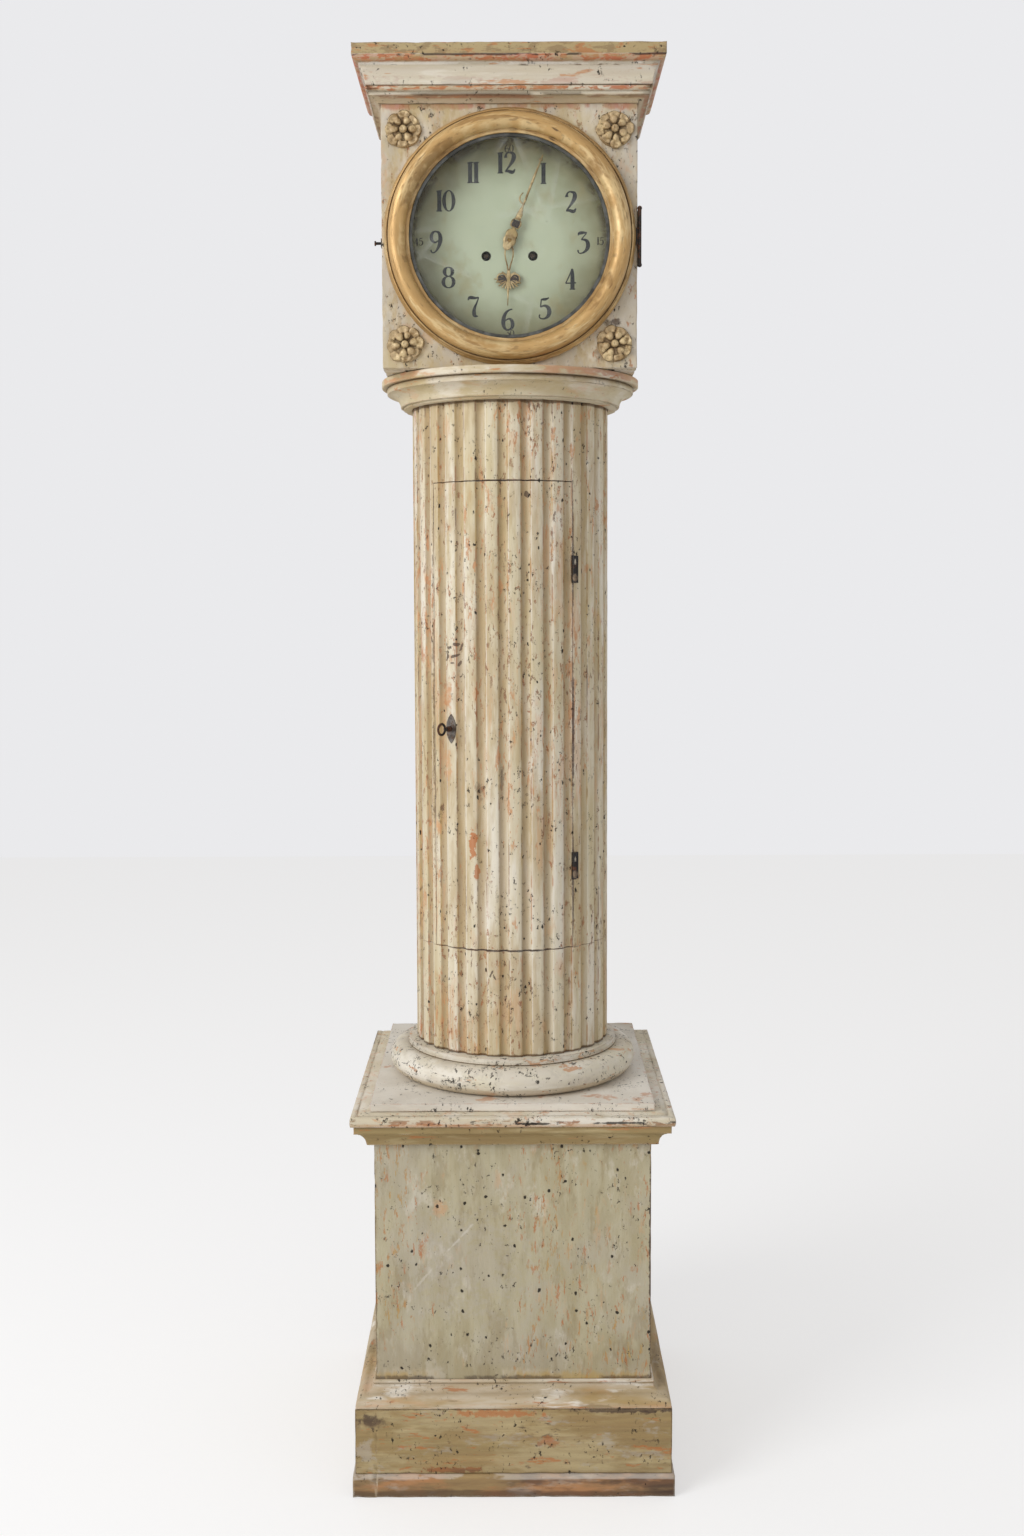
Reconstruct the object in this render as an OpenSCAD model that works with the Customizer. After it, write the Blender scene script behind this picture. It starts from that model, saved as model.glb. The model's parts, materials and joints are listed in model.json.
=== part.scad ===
// Tall case clock: a square hood with a round bezel on a fluted column, on a square pedestal.
// Millimetres, +Z up, the front faces -Y. The origin is the centre of the footprint on the floor.

/* [Plinth and pedestal] */
// Half the width of the pedestal box
box_half_w = 204; // [195:0.5:210]
// How far the bottom strip, the widest piece, stands out from the pedestal
strip_out = 33.5; // [30:0.5:42]
// Depth of the bottom strip from front to back
strip_d = 494; // [480:1:520]
// Height of the bottom strip
strip_h = 34; // [26:1:42]
// How far the band above the strip stands out from the pedestal
band_out = 29.5; // [24:0.5:33]
// Height of the band above the strip
band_h = 98; // [80:1:115]
// Height of the moulding on top of the band
mould_h = 33; // [30:1:40]
// Height of the pedestal box from the floor
box_h = 556; // [520:1:600]
// Thickness of the pedestal boards
board_t = 18; // [14:1:22]

/* [Pedestal cap] */
// Height of the cove moulding under the rim board
cove_h = 33; // [30:1:40]
// How far the face above the cove stands out from the pedestal
cove_out = 27.3; // [24:0.1:29]
// How far the rounded rim board stands out from the pedestal
rim_out = 33; // [31:0.5:41]
// Thickness of the rim board
rim_t = 15; // [13:0.5:20]
// How far the raised square plate stands out from the pedestal
plate_out = 5; // [-4:0.5:16]
// Thickness of the raised square plate
plate_t = 12.5; // [8:0.5:16]
// Radius of the hole through rim board and plate
well_r = 112; // [100:1:118]

/* [Column] */
// Radius of the fluted shaft over its flats
shaft_r = 150.3; // [148:0.1:152]
// Radius of the hollow inside the column
bore_r = 128; // [124:0.5:130]
// Number of flutes round the shaft
flute_n = 28; // [28:28:56]
// Share of the pitch that a flute takes
flute_share = 0.43; // [0.35:0.01:0.46]
// Depth of a flute
flute_depth = 4.5; // [3:0.1:5.5]
// Turn of the flutes about the axis, in degrees
flute_turn = -4.3; // [-5:0.1:-3.6]
// Radius of the round of the torus
torus_r = 21.2; // [19:0.1:23]
// Radius of the circle that the torus round runs on
torus_run_r = 171.5; // [168:0.5:176]
// Height of the fillet ring on the torus
ring_h = 10.1; // [8:0.1:12]
// Radius of the fillet ring on the torus
ring_r = 162.6; // [158:0.2:165]
// Height of the lower drum of the column
drum_h = 160; // [130:1:190]
// Height of the shaft above the door
neck_h = 116; // [95:1:130]

/* [Trunk door] */
// Height of the trunk door
door_h = 696; // [640:1:740]
// Direction of the opening's left edge, degrees from the front
door_left = -50; // [-52:0.1:-47]
// Direction of the opening's right edge, where the hinges are
door_right = 37.8; // [37.4:0.1:38.4]
// Gap round the door
door_gap = 0.7; // [0.5:0.1:1]
// Height of each hinge
hinge_h = 40; // [34:1:46]
// Height of the lower hinge's middle above the door's foot
hinge_low = 124; // [100:1:160]
// Height of the upper hinge's middle above the door's foot
hinge_high = 567; // [530:1:600]
// Radius of a hinge knuckle
knuckle_r = 3.2; // [3:0.1:4]
// Radius of a hinge pin
hinge_pin_r = 1.5; // [1.2:0.1:1.8]

/* [Lock and key] */
// Direction of the keyhole, degrees from the front
key_turn = -36.4; // [-37:0.1:-35.6]
// Height of the keyhole above the door's foot
key_up = 331; // [300:1:360]
// Radius of the key's shank
key_r = 2.9; // [2.4:0.1:3]
// Distance of the bow's middle from the column's axis
bow_out = 173.5; // [170:0.5:180]
// Radius of the bow ring, to the middle of its round
bow_r = 8; // [7:0.1:9]
// Travel of the lock bolt
bolt_throw = 8; // [6:0.5:9]
// Half the width of the escutcheon
escutcheon_half_w = 9; // [7:0.2:9.4]
// Half the height of the escutcheon
escutcheon_half_h = 22; // [18:0.5:26]

/* [Capital] */
// Height of the capital ring
capital_h = 44; // [42:0.5:50]
// Radius of the capital's upper band
capital_r = 196.8; // [195:0.2:200]
// Radius of the capital's second band
capital_band_r = 188.9; // [186:0.2:191]
// Radius of the capital's bottom fillet
capital_foot_r = 163.7; // [161:0.1:165]
// Thickness of the board that closes the column's top
top_board_t = 12; // [10:0.5:16]

/* [Hood] */
// Half the width of the hood box
hood_half_w = 184.5; // [183.5:0.1:186]
// Distance of the hood's front face from the column's axis
hood_front = 150; // [148:0.5:152]
// Distance of the hood's back from the column's axis
hood_back = 80; // [70:1:90]
// Height from the capital to the top of the cornice
hood_h = 448; // [446:0.5:456]
// Thickness of the hood's front board
front_t = 20; // [18:0.5:22]
// Thickness of the hood's side boards
side_t = 16; // [12:0.5:18]
// Radius of the round opening in the front board
opening_r = 146; // [142:0.5:148]
// Height of the dial's centre above the capital
dial_up = 186; // [184:0.5:188]
// Height of the cornice moulding
cornice_h = 74.7; // [73:0.1:80]
// Overhang of the cornice's top face
cornice_out = 38; // [36:0.5:42]
// Distance of a rosette from the dial's centre, across and up
rosette_off = 153.5; // [152.5:0.1:154]
// Radius of a rosette
rosette_r = 28.5; // [25:0.5:29]

/* [Bezel] */
// Outer radius of the gilded bezel
bezel_r = 182; // [180:0.2:183]
// Inner radius of the gilded bezel
bezel_in_r = 144; // [141:0.5:145]
// Radius of the bezel's big round
round_r = 13; // [11:0.2:14]
// Radius of the circle that the big round runs on
round_run_r = 162; // [160:0.5:163]
// Thickness of the bezel's back ring
bezel_t = 9; // [7:0.5:11]
// Inner radius of the steel sight ring
sight_r = 139.5; // [136:0.5:140]
// Thickness of the glass
glass_t = 2.5; // [2:0.1:3]
// Height of the bezel hinge
bezel_hinge_h = 76; // [60:1:90]
// Distance of the bezel's hinge line from the middle
bezel_hinge_x = 187.2; // [187:0.1:189]

/* [Dial and hands] */
// Radius of the dial
dial_r = 152; // [149:0.5:155]
// Thickness of the dial
dial_t = 1.6; // [1.2:0.1:2.5]
// Distance from the hood's front board back to the dial
dial_gap = 4; // [3:0.5:6]
// Length of the minute hand
minute_len = 131; // [115:1:133]
// Length of the hour hand
hour_len = 93; // [85:1:100]
// Clock direction of the minute hand, degrees from twelve
minute_at = 22; // [0:1:359]
// Clock direction of the hour hand, degrees from twelve
hour_at = 181.8; // [0:0.1:359.9]
// Thickness of a hand
hand_t = 1; // [0.8:0.1:1.4]

/* [Movement] */
// Half the width of the movement plates
plates_half_w = 74; // [73:0.5:76]
// Thickness of each plate
mov_plate_t = 3; // [2:0.25:4]
// Clear space between the plates
plates_gap = 52; // [50:1:60]
// Distance of a winding arbor from the middle
wind_x = 34; // [33:0.5:35]
// Drop of the winding arbors below the dial's centre
wind_drop = 21; // [20:0.5:22]
// Radius of a barrel's drum
drum_r = 14; // [12:0.5:15]
// Teeth of the great wheel
great_n = 96; // [96:8:104]
// Teeth of the centre wheel
centre_n = 64; // [64:8:64]
// Teeth of the third wheel
third_n = 60; // [60:4:60]
// Leaves of each pinion
leaf_n = 8; // [8:1:8]
// Module of the centre wheel and third pinion
centre_mod = 0.7; // [0.66:0.01:0.72]
// Module of the third wheel and escape pinion
third_mod = 0.6; // [0.58:0.01:0.62]
// Height of the escape arbor above the centre arbor
escape_up = 35; // [34:0.5:36]
// Height of the pallet arbor above the centre arbor
pallet_up = 62; // [61:0.5:63]
// Teeth of the escape wheel
escape_n = 30; // [28:1:32]
// Radius of the escape wheel
escape_r = 17.5; // [16.5:0.1:18]
// Radius of the bell
bell_r = 40; // [36:0.5:42]

/* [Pendulum and weights] */
// Length from the suspension to the middle of the bob
pendulum_len = 994; // [970:1:1010]
// Radius of the pendulum bob
bob_r = 55; // [45:1:60]
// Half the thickness of the bob at its middle
bob_half_t = 12; // [9:0.5:13]
// Radius of the pendulum rod
rod_r = 2.5; // [2:0.1:3]
// Radius of a weight
weight_r = 23; // [18:0.5:24]
// Length of a weight
weight_len = 230; // [180:5:260]
// Radius of a pulley, to the middle of the line
pulley_r = 18; // [17.6:0.1:18.4]
// Radius of the weight line
line_r = 0.9; // [0.7:0.05:1.1]
// Height of the pulleys when the weights are down
pulley_low = 1027; // [980:1:1060]

/* [Clearances] */
// Radial play of a shaft in its bearing
run_gap = 0.06; // [0.03:0.01:0.09]
// Gap between pieces that pass each other
pass_gap = 0.3; // [0.25:0.05:0.5]

/* [Hidden] */
$fn = 96;

// Cutting tools reach this far past what they cut
over = 1;
// The column's axis lies this far from the middle of the footprint
axis_y = box_half_w + strip_out - strip_d / 2;
// The flat back of plinth, pedestal and cap, from the column's axis
back_y = strip_d / 2 - axis_y;

// Heights of the stack
mould_z = strip_h + band_h;
cove_z = box_h - cove_h;
rim_z = box_h;
plate_z = rim_z + rim_t;
torus_z = plate_z + plate_t;
ring_z = torus_z + 2 * torus_r;
drum_z = ring_z + ring_h;
door_z = drum_z + drum_h;
neck_z = door_z + door_h;
capital_z = neck_z + neck_h;
hood_z = capital_z + capital_h;
hood_foot_z = hood_z + pass_gap;
hood_top_z = hood_z + hood_h;
cornice_z = hood_top_z - cornice_h;
dial_z = hood_z + dial_up;
top_board_z = hood_z - top_board_t;
// The opening in the top board, through which weights and pendulum hang
well_half_w = 70;
well_front = 95;
well_back = 12;

// Overhangs past the pedestal box
mould_out = band_out - 0.7;
ogee_r = (mould_out - 1) / 2;
ogee_x = mould_out - ogee_r;
rim_half_w = box_half_w + rim_out;
plate_half_w = box_half_w + plate_out;
rim_round_r = (rim_t * rim_t / 4 + 2.56) / 3.2;

// Flutes
flute_chord = 2 * shaft_r * sin(180 * flute_share / flute_n);
chord_out = shaft_r * cos(180 * flute_share / flute_n);
flute_dip = flute_depth - (shaft_r - chord_out);
flute_r = (flute_chord * flute_chord / 4 + flute_dip * flute_dip) / (2 * flute_dip);
flute_c = chord_out + flute_r - flute_dip;

// Door and hinges
gap_deg = asin(door_gap / shaft_r);
hinge_out = shaft_r + knuckle_r + pass_gap;
hinge_shift = -door_gap / 2;
leaf_t = 1.2;
leaf_in = 17;
knuckle_gap = 0.3;
hinge_z = [door_z + hinge_low, door_z + hinge_high];
third_h = hinge_h / 3;

// Lock, in the frame of the keyhole: X along the door, out is the distance from the axis
key_z = door_z + key_up;
case_x0 = -26;
case_x1 = 16;
case_in = bore_r - 6;
case_out = bore_r + 9;
case_half_h = 30;
case_wall = 1.5;
bolt_in = bore_r + 0.2;
bolt_out = bolt_in + 6;
bolt_z0 = key_r + 1.4;
bolt_h = 12;
bolt_end = -(shaft_r + bore_r) / 2 * tan(key_turn - door_left) + 3.8;
key_in = case_in + case_wall + pass_gap;
leaf_r = (escutcheon_half_h * escutcheon_half_h + escutcheon_half_w * escutcheon_half_w)
  / (2 * escutcheon_half_w);
bit_len = 7;
bow_wire_r = 1.8;

// Hood
hood_side_in = hood_half_w - side_t;
top_t = 12;
box_top_z = hood_top_z - top_t - 2;
runner_w = 16;
runner_h = 16;
backboard_t = 12;
backboard_half_w = 172;
// Latch pin, its lug and the bezel hinge
latch_z = dial_z - 6;
latch_y = -hood_front + 8;
latch_r = 2;
latch_travel = 7;
lug_x = -hood_half_w + 14;
lug_t = 4;
lug_half_h = 4;
bezel_back = hood_front + pass_gap;
bezel_hinge_out = hood_front + 4;
bezel_knuckle_r = 2.6;
bezel_pin_r = 1.2;
hinge_plate_t = 1.5;
hinge_plate_d = 24;
bezel_third = bezel_hinge_h / 3 - 0.15;
strap_h = bezel_hinge_h - 2 * bezel_third - 2 * pass_gap;
round_out = bezel_back + bezel_t + 3;
glass_out = bezel_back + 4;
sight_out = glass_out + glass_t;

// Movement, distances along Y from the column's axis
dial_y = -hood_front + front_t + dial_gap;
post_len = 38.4;
plate_y = dial_y + dial_t + post_len;
front_in = plate_y + mov_plate_t;
back_in = front_in + plates_gap;
back_out = back_in + mov_plate_t;
plates_z0 = dial_z - 62;
plates_z1 = dial_z + 84;
pillar_x = plates_half_w - 6;
pillar_r = 3.5;
seat_t = 18;
seat_front = 108;
seat_back = 20;
line_hole_r = 3;
cheek_front = 100;
seat_z = plates_z0 - seat_t;
cheek_t = 16;
cheek_x = 78;
wind_z = dial_z - wind_drop;
arbor_r = 1.4;
pivot_r = 1;
barrel_arbor_r = 2.5;
wind_r = 3.6;
post_r = 1.5;
great_mod = 2 * sqrt(wind_x * wind_x + wind_drop * wind_drop) / (great_n + leaf_n);
escape_z = dial_z + escape_up;
pallet_z = dial_z + pallet_up;
// The third arbor stands where both of its meshes close
third_a = centre_mod * (centre_n + leaf_n) / 2;
third_b = third_mod * (third_n + leaf_n) / 2;
third_dz = (third_a * third_a - third_b * third_b + escape_up * escape_up) / (2 * escape_up);
third_dx = sqrt(third_a * third_a - third_dz * third_dz);
third_z = dial_z + third_dz;
// Directions between arbors, clockwise from up as seen from the front
third_dir = atan2(third_dx, third_dz);
escape_dir = atan2(-third_dx, escape_z - third_z);
great_dir = atan2(-wind_x, wind_drop);
wheel_t = 1.5;
great_y = back_in - 11;
centre_y = back_in - 5;
third_y = back_in - 27;
escape_y = back_in - 41;
strike_y = back_in - 17;
barrel_y0 = front_in + 3;
barrel_y1 = barrel_y0 + 26;
barrel_mid = (barrel_y0 + barrel_y1) / 2;
flange_r = drum_r + 4;
square_half = 2.8;
// Motion work between the dial and the front plate
cannon_n = 24;
motion_n = 72;
motion_leaf_n = 18;
hour_n = 72;
motion_mod = 0.45;
motion_x = motion_mod * (cannon_n + motion_n) / 2;
hour_mod = 2 * motion_x / (hour_n + motion_leaf_n);
cannon_y = plate_y - 2;
hour_y = plate_y - 8;
pipe_r = 3.2;
hour_pipe_r = 4.6;
hour_hand_y = dial_y - 4.5;
minute_hand_y = hour_hand_y - 3.5;

// Pendulum, weights and lines
rod_y = back_out + 16;
bob_z = pallet_z - pendulum_len;
fork_drop = 100;
bob_sphere_r = (bob_r * bob_r + bob_half_t * bob_half_t) / (2 * bob_half_t);
fall_off = drum_r + line_r + pass_gap;
weight_top = pulley_low - pulley_r - 15;
strike_pins = 8;
strike_pin_r = 31;
hammer_x = -44;
hammer_z = dial_z + 47;
bell_z = dial_z + 106;
bell_h = 28;
bell_t = 2;
bell_y = (front_in + back_in) / 2;
bell_sphere_r = (bell_r * bell_r + bell_h * bell_h) / (2 * bell_h);
pallet_clear_r = escape_r + 1.3;
escape_root_r = escape_r - 3.6;

painted = [0.80, 0.76, 0.64];
sage = [0.70, 0.69, 0.57];
gilt = [0.78, 0.60, 0.30];
iron = [0.16, 0.14, 0.13];
steel = [0.34, 0.37, 0.38];
brass = [0.72, 0.56, 0.26];
bare_wood = [0.62, 0.48, 0.32];

// Puts what is drawn round the column's axis in its place over the footprint
module on_axis() {
  translate([0, axis_y, 0]) children();
}

// Turns a frame to a direction round the column, degrees from the front, +X towards the right
module toward(deg) {
  rotate([0, 0, deg]) children();
}

// A box between two corners
module block(from, to) {
  translate(from) cube(to - from);
}

// A round rod along Y at x, z
module along_y(x, z, y0, y1, r) {
  translate([x, y1, z]) rotate([90, 0, 0]) cylinder(h = y1 - y0, r = r);
}

// A round rod along X at y, z
module along_x(y, z, x0, x1, r) {
  translate([x0, y, z]) rotate([0, 90, 0]) cylinder(h = x1 - x0, r = r);
}

// A plate seen from the front: the outline's x is X and its y is Z, its back face lies at y
module plate_at(x, z, y, t) {
  translate([x, y, z]) rotate([90, 0, 0]) linear_extrude(t) children();
}

// A mitred frame's full body round the front and both sides of a box
module mitred_body(half_w, front, back, z, h) {
  intersection() {
    translate([0, back, z]) rotate([90, 0, 0]) linear_extrude(front + back + half_w) {
      for (side = [0, 1]) mirror([side, 0]) translate([half_w, 0]) children();
      translate([-half_w, 0]) square([2 * half_w, h]);
    }
    translate([-2 * half_w, 0, z]) rotate([90, 0, 90]) linear_extrude(4 * half_w) {
      translate([-front, 0]) mirror([1, 0]) children();
      translate([-front, 0]) square([front + back, h]);
    }
  }
}

// A moulding mitred round the front and both sides of a box; its outline is overhang and height
module mitred(half_w, front, back, z, h) {
  difference() {
    mitred_body(half_w, front, back, z, h) children();
    block([-half_w, -front, z - over], [half_w, back + over, z + h + over]);
  }
}

// The plan of the fluted wall
module fluted_plan() {
  difference() {
    circle(shaft_r);
    circle(bore_r);
    for (i = [0 : flute_n - 1]) {
      rotate(flute_turn + i * 360 / flute_n) translate([0, -flute_c]) circle(flute_r);
    }
  }
}

// A sector from the axis outwards, between two directions
module sector(a0, a1) {
  polygon([[0, 0], for (a = [a0, (a0 + a1) / 2, a1]) 2 * shaft_r * [sin(a), -cos(a)]]);
}

// A toothed outline: root and tip radius, half widths at root and tip as shares of the pitch
module teeth(n, root, tip, w_root, w_tip, turn) {
  polygon([for (i = [0 : n - 1]) for (c = [[root, -w_root], [tip, -w_tip], [tip, w_tip], [root, w_root]])
    let (a = turn + (i + c[1]) * 360 / n) c[0] * [sin(a), cos(a)]]);
}

// A wheel's outline with teeth and four arms
module wheel_plan(n, m, turn, bore) {
  difference() {
    teeth(n, m * (n / 2 - 0.8), m * (n / 2 + 0.65), 0.2, 0.07, turn);
    difference() {
      circle(m * (n / 2 - 0.8) - 2.6);
      circle(bore + 3.4);
      for (a = [0, 90]) rotate(a) square([3, m * n], center = true);
    }
    circle(bore);
  }
}

// A pinion's outline
module pinion_plan(n, m, turn) {
  teeth(n, m * (n / 2 - 1.05), m * (n / 2 + 0.45), 0.19, 0.09, turn);
}

// An arbor with its pivots in both plates
module arbor(x, z, front) {
  along_y(x, z, front_in + pass_gap, back_in - pass_gap, arbor_r);
  along_y(x, z, front, back_out, pivot_r);
}

// Bearing holes of both plates
module pivot_hole(x, z, r_front, r_back) {
  along_y(x, z, plate_y - over, front_in + over, r_front + run_gap);
  along_y(x, z, back_in - over, back_out + over, r_back + run_gap);
}

module plinth_strip() {
  color(sage) on_axis() mitred(box_half_w, box_half_w, back_y, 0, strip_h)
    polygon([[-over, 0], [strip_out, 0], [strip_out, strip_h - 2],
      [strip_out - 2, strip_h], [-over, strip_h]]);
}

module plinth_band() {
  color(sage) on_axis() mitred(box_half_w, box_half_w, back_y, strip_h, band_h)
    translate([-over, 0]) square([band_out + over, band_h]);
}

module plinth_moulding() {
  color(painted) on_axis() mitred(box_half_w, box_half_w, back_y, mould_z, mould_h) {
    translate([-over, 0]) square([mould_out + over, 3]);
    difference() {
      translate([-over, 0]) square([mould_out + over, mould_h - 4.5]);
      difference() {
        translate([ogee_x, 3]) square([2 * ogee_r, mould_h]);
        translate([ogee_x, 3]) circle(ogee_r);
      }
      translate([ogee_x, 3 + 2 * ogee_r - 2.2]) circle(ogee_r - 2.2);
      translate([ogee_x, 3 + ogee_r]) square([2 * ogee_r, mould_h]);
    }
    translate([-over, mould_h - 7]) square([over + 1, 7]);
    translate([1, mould_h - 3.5]) circle(3.5);
  }
}

module pedestal_front() {
  color(sage) on_axis()
    block([-box_half_w, -box_half_w, 0], [box_half_w, -box_half_w + board_t, box_h]);
}

module pedestal_sides() {
  color(sage) on_axis() for (side = [0, 1]) mirror([side, 0, 0])
    block([box_half_w - board_t, -box_half_w + board_t, 0], [box_half_w, back_y - board_t, box_h]);
}

module pedestal_back() {
  color(sage) on_axis() block([-box_half_w, back_y - board_t, 0], [box_half_w, back_y, box_h]);
}

module pedestal_floor() {
  color(bare_wood) on_axis() block([-box_half_w + board_t, -box_half_w + board_t, mould_z - board_t],
    [box_half_w - board_t, back_y - board_t, mould_z]);
}

module cap_moulding() {
  color(sage) on_axis() mitred(box_half_w, box_half_w, back_y, cove_z, cove_h) difference() {
    translate([-over, 0]) square([cove_out + over, cove_h]);
    translate([cove_out + 4.7, 0]) circle(22);
  }
}

module rim_board() {
  color(sage) on_axis() difference() {
    mitred_body(box_half_w, box_half_w, back_y, rim_z, rim_t) intersection() {
      translate([-over, 0]) square([rim_out + over, rim_t]);
      translate([rim_out - rim_round_r, rim_t / 2]) circle(rim_round_r);
    }
    translate([0, 0, rim_z - over]) cylinder(h = rim_t + 2 * over, r = well_r);
    difference() {
      rim_line(10, rim_z + rim_t - 0.8);
      rim_line(11.2, rim_z + rim_t - over);
    }
  }
}

// The block inside the line cut in the rim board
module rim_line(inset, z) {
  block([-rim_half_w + inset, -rim_half_w + inset, z],
    [rim_half_w - inset, back_y + over, rim_z + rim_t + over]);
}

module raised_plate() {
  color(sage) on_axis() difference() {
    block([-plate_half_w, -plate_half_w, plate_z], [plate_half_w, back_y, torus_z]);
    translate([0, 0, plate_z - over]) cylinder(h = plate_t + 2 * over, r = well_r);
  }
}

module column_torus() {
  color(painted) on_axis() translate([0, 0, torus_z]) rotate_extrude() {
    translate([bore_r, 0]) square([torus_run_r - bore_r, 2 * torus_r]);
    translate([torus_run_r, torus_r]) circle(torus_r);
    translate([bore_r, 2 * torus_r - over]) square([ring_r - bore_r, ring_h + over]);
    translate([ring_r, 2 * torus_r + 1.6]) circle(1.6);
  }
}

module column_drum() {
  color(painted) on_axis() translate([0, 0, drum_z]) linear_extrude(drum_h) fluted_plan();
}

module column_shaft() {
  color(painted) on_axis() difference() {
    union() {
      translate([0, 0, door_z]) linear_extrude(door_h) difference() {
        fluted_plan();
        sector(door_left, door_right);
      }
      translate([0, 0, neck_z]) linear_extrude(top_board_z - neck_z) fluted_plan();
    }
    toward(key_turn)
      block([bolt_end - bolt_throw - 4, -bolt_out - pass_gap, key_z + bolt_z0 - pass_gap],
        [bolt_end + 2, -bolt_in + pass_gap, key_z + bolt_z0 + bolt_h + pass_gap]);
  }
}

module trunk_door() {
  color(painted) on_axis() difference() {
    translate([0, 0, door_z + door_gap]) linear_extrude(door_h - 2 * door_gap) intersection() {
      fluted_plan();
      sector(door_left + gap_deg, door_right - gap_deg);
    }
    for (z = hinge_z) toward(door_right - gap_deg)
      block([-leaf_t, -shaft_r - over, z - hinge_h / 2], [over, -hinge_out + leaf_in, z + hinge_h / 2]);
    toward(key_turn) {
      block([case_x0, -case_out, key_z - case_half_h], [case_x1, -bore_r + 12, key_z + case_half_h]);
      along_y(0, key_z, -shaft_r - over, -case_out + over, key_r + pass_gap);
      block([bolt_end - 6, -bolt_out - pass_gap, key_z + bolt_z0 - pass_gap],
        [case_x0 + over, -bolt_in + pass_gap, key_z + bolt_z0 + bolt_h + pass_gap]);
    }
  }
}

module shaft_hinges() {
  color(iron) on_axis() for (z = hinge_z) toward(door_right) difference() {
    union() {
      difference() {
        block([0, -shaft_r - 1.3, z - hinge_h / 2], [9.5, -shaft_r + 1.5, z + hinge_h / 2]);
        translate([0, 0, z - hinge_h]) cylinder(h = 2 * hinge_h, r = shaft_r, $fn = 720);
        block([5.2, -shaft_r - 3, z - hinge_h / 2 + 7], [6.8, -bore_r, z + hinge_h / 2 - 7]);
      }
      for (end = [-1, 1]) translate([hinge_shift, -hinge_out, z + end * third_h - third_h / 2])
        cylinder(h = third_h, r = knuckle_r);
    }
    translate([hinge_shift, -hinge_out, z - third_h / 2 - knuckle_gap])
      difference() {
        cylinder(h = third_h + 2 * knuckle_gap, r = knuckle_r + pass_gap);
        translate([0, 0, -over]) cylinder(h = third_h + 3 * over, r = hinge_pin_r - 0.2);
      }
  }
  color(iron) on_axis() for (z = hinge_z) toward(door_right)
    translate([hinge_shift, -hinge_out, z - third_h / 2 - knuckle_gap])
      cylinder(h = third_h + 2 * knuckle_gap, r = hinge_pin_r);
}

module door_hinges() {
  color(iron) on_axis() for (z = hinge_z) difference() {
    union() {
      toward(door_right) translate([hinge_shift, -hinge_out, z - third_h / 2])
        cylinder(h = third_h, r = knuckle_r);
      toward(door_right - gap_deg) {
        block([-leaf_t, -shaft_r, z - hinge_h / 2], [0, -hinge_out + leaf_in, z + hinge_h / 2]);
        block([-leaf_t, -hinge_out, z - third_h / 2], [0, -shaft_r + over, z + third_h / 2]);
      }
    }
    toward(door_right) translate([hinge_shift, -hinge_out, z - hinge_h])
      cylinder(h = 2 * hinge_h, r = hinge_pin_r + run_gap);
    for (end = [-1, 1]) toward(door_right)
      translate([hinge_shift, -hinge_out, z + end * (third_h + knuckle_gap / 2)])
        cylinder(h = third_h + knuckle_gap, r = knuckle_r + pass_gap, center = true);
  }
}

module escutcheon() {
  color(steel) on_axis() toward(key_turn) difference() {
    union() {
      plate_at(0, key_z, -shaft_r + 1, 2.4) leaf_plan();
      plate_at(0, key_z, -shaft_r - 1.2, 0.8) circle(key_r + 1.6);
    }
    translate([0, 0, key_z - 40]) cylinder(h = 80, r = shaft_r, $fn = 720);
    along_y(0, key_z, -shaft_r - 5, -shaft_r + 5, key_r + run_gap);
  }
}

// The escutcheon's outline, a pointed leaf from two arcs
module leaf_plan() {
  intersection() {
    translate([leaf_r - escutcheon_half_w, 0]) circle(leaf_r);
    translate([escutcheon_half_w - leaf_r, 0]) circle(leaf_r);
  }
}

module lock_case() {
  color(steel) on_axis() toward(key_turn) difference() {
    block([case_x0, -case_out, key_z - case_half_h], [case_x1, -case_in, key_z + case_half_h]);
    block([case_x0 + case_wall, -case_out + case_wall, key_z - case_half_h + case_wall],
      [case_x1 - case_wall, -case_in - case_wall, key_z + case_half_h - case_wall]);
    along_y(0, key_z, -case_out - over, -case_out + case_wall + over, key_r + pass_gap);
    block([case_x0 - over, -bolt_out - pass_gap, key_z + bolt_z0 - pass_gap],
      [case_x0 + case_wall + over, -bolt_in + pass_gap, key_z + bolt_z0 + bolt_h + pass_gap]);
  }
}

module lock_bolt() {
  color(steel) on_axis() toward(key_turn)
    block([bolt_end, -bolt_out, key_z + bolt_z0], [10, -bolt_in, key_z + bolt_z0 + bolt_h]);
}

module key() {
  color(iron) on_axis() toward(key_turn) {
    along_y(0, key_z, -bow_out + bow_r, -key_in, key_r);
    along_y(0, key_z, -shaft_r - 7.5, -shaft_r - 3, key_r + 1.3);
    block([-1, -key_in - 4, key_z - key_r - bit_len], [1, -key_in, key_z]);
    translate([0, -bow_out, key_z]) rotate([0, 90, 0]) rotate_extrude()
      translate([bow_r, 0]) circle(bow_wire_r);
  }
}

module capital() {
  color(painted) on_axis() translate([0, 0, capital_z]) rotate_extrude() {
    translate([shaft_r, 0]) square([capital_foot_r - shaft_r, 5]);
    difference() {
      translate([shaft_r, 3.5]) square([capital_band_r - 0.9 - shaft_r, 19.8]);
      translate([capital_band_r - 0.9, 3]) circle(20);
    }
    translate([shaft_r, 22.5]) square([capital_band_r - shaft_r - 1.5, 11]);
    rounded_band(capital_band_r, 23, 32.4);
    rounded_band(capital_r, 32.7, capital_h);
  }
}

// A band with rounded edges, from the shaft outwards
module rounded_band(r, z0, z1) {
  translate([shaft_r, z0]) square([r - shaft_r - 1.5, z1 - z0]);
  translate([shaft_r, z0 + 1.5]) square([r - shaft_r, z1 - z0 - 3]);
  for (z = [z0 + 1.5, z1 - 1.5]) translate([r - 1.5, z]) circle(1.5);
}

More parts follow.
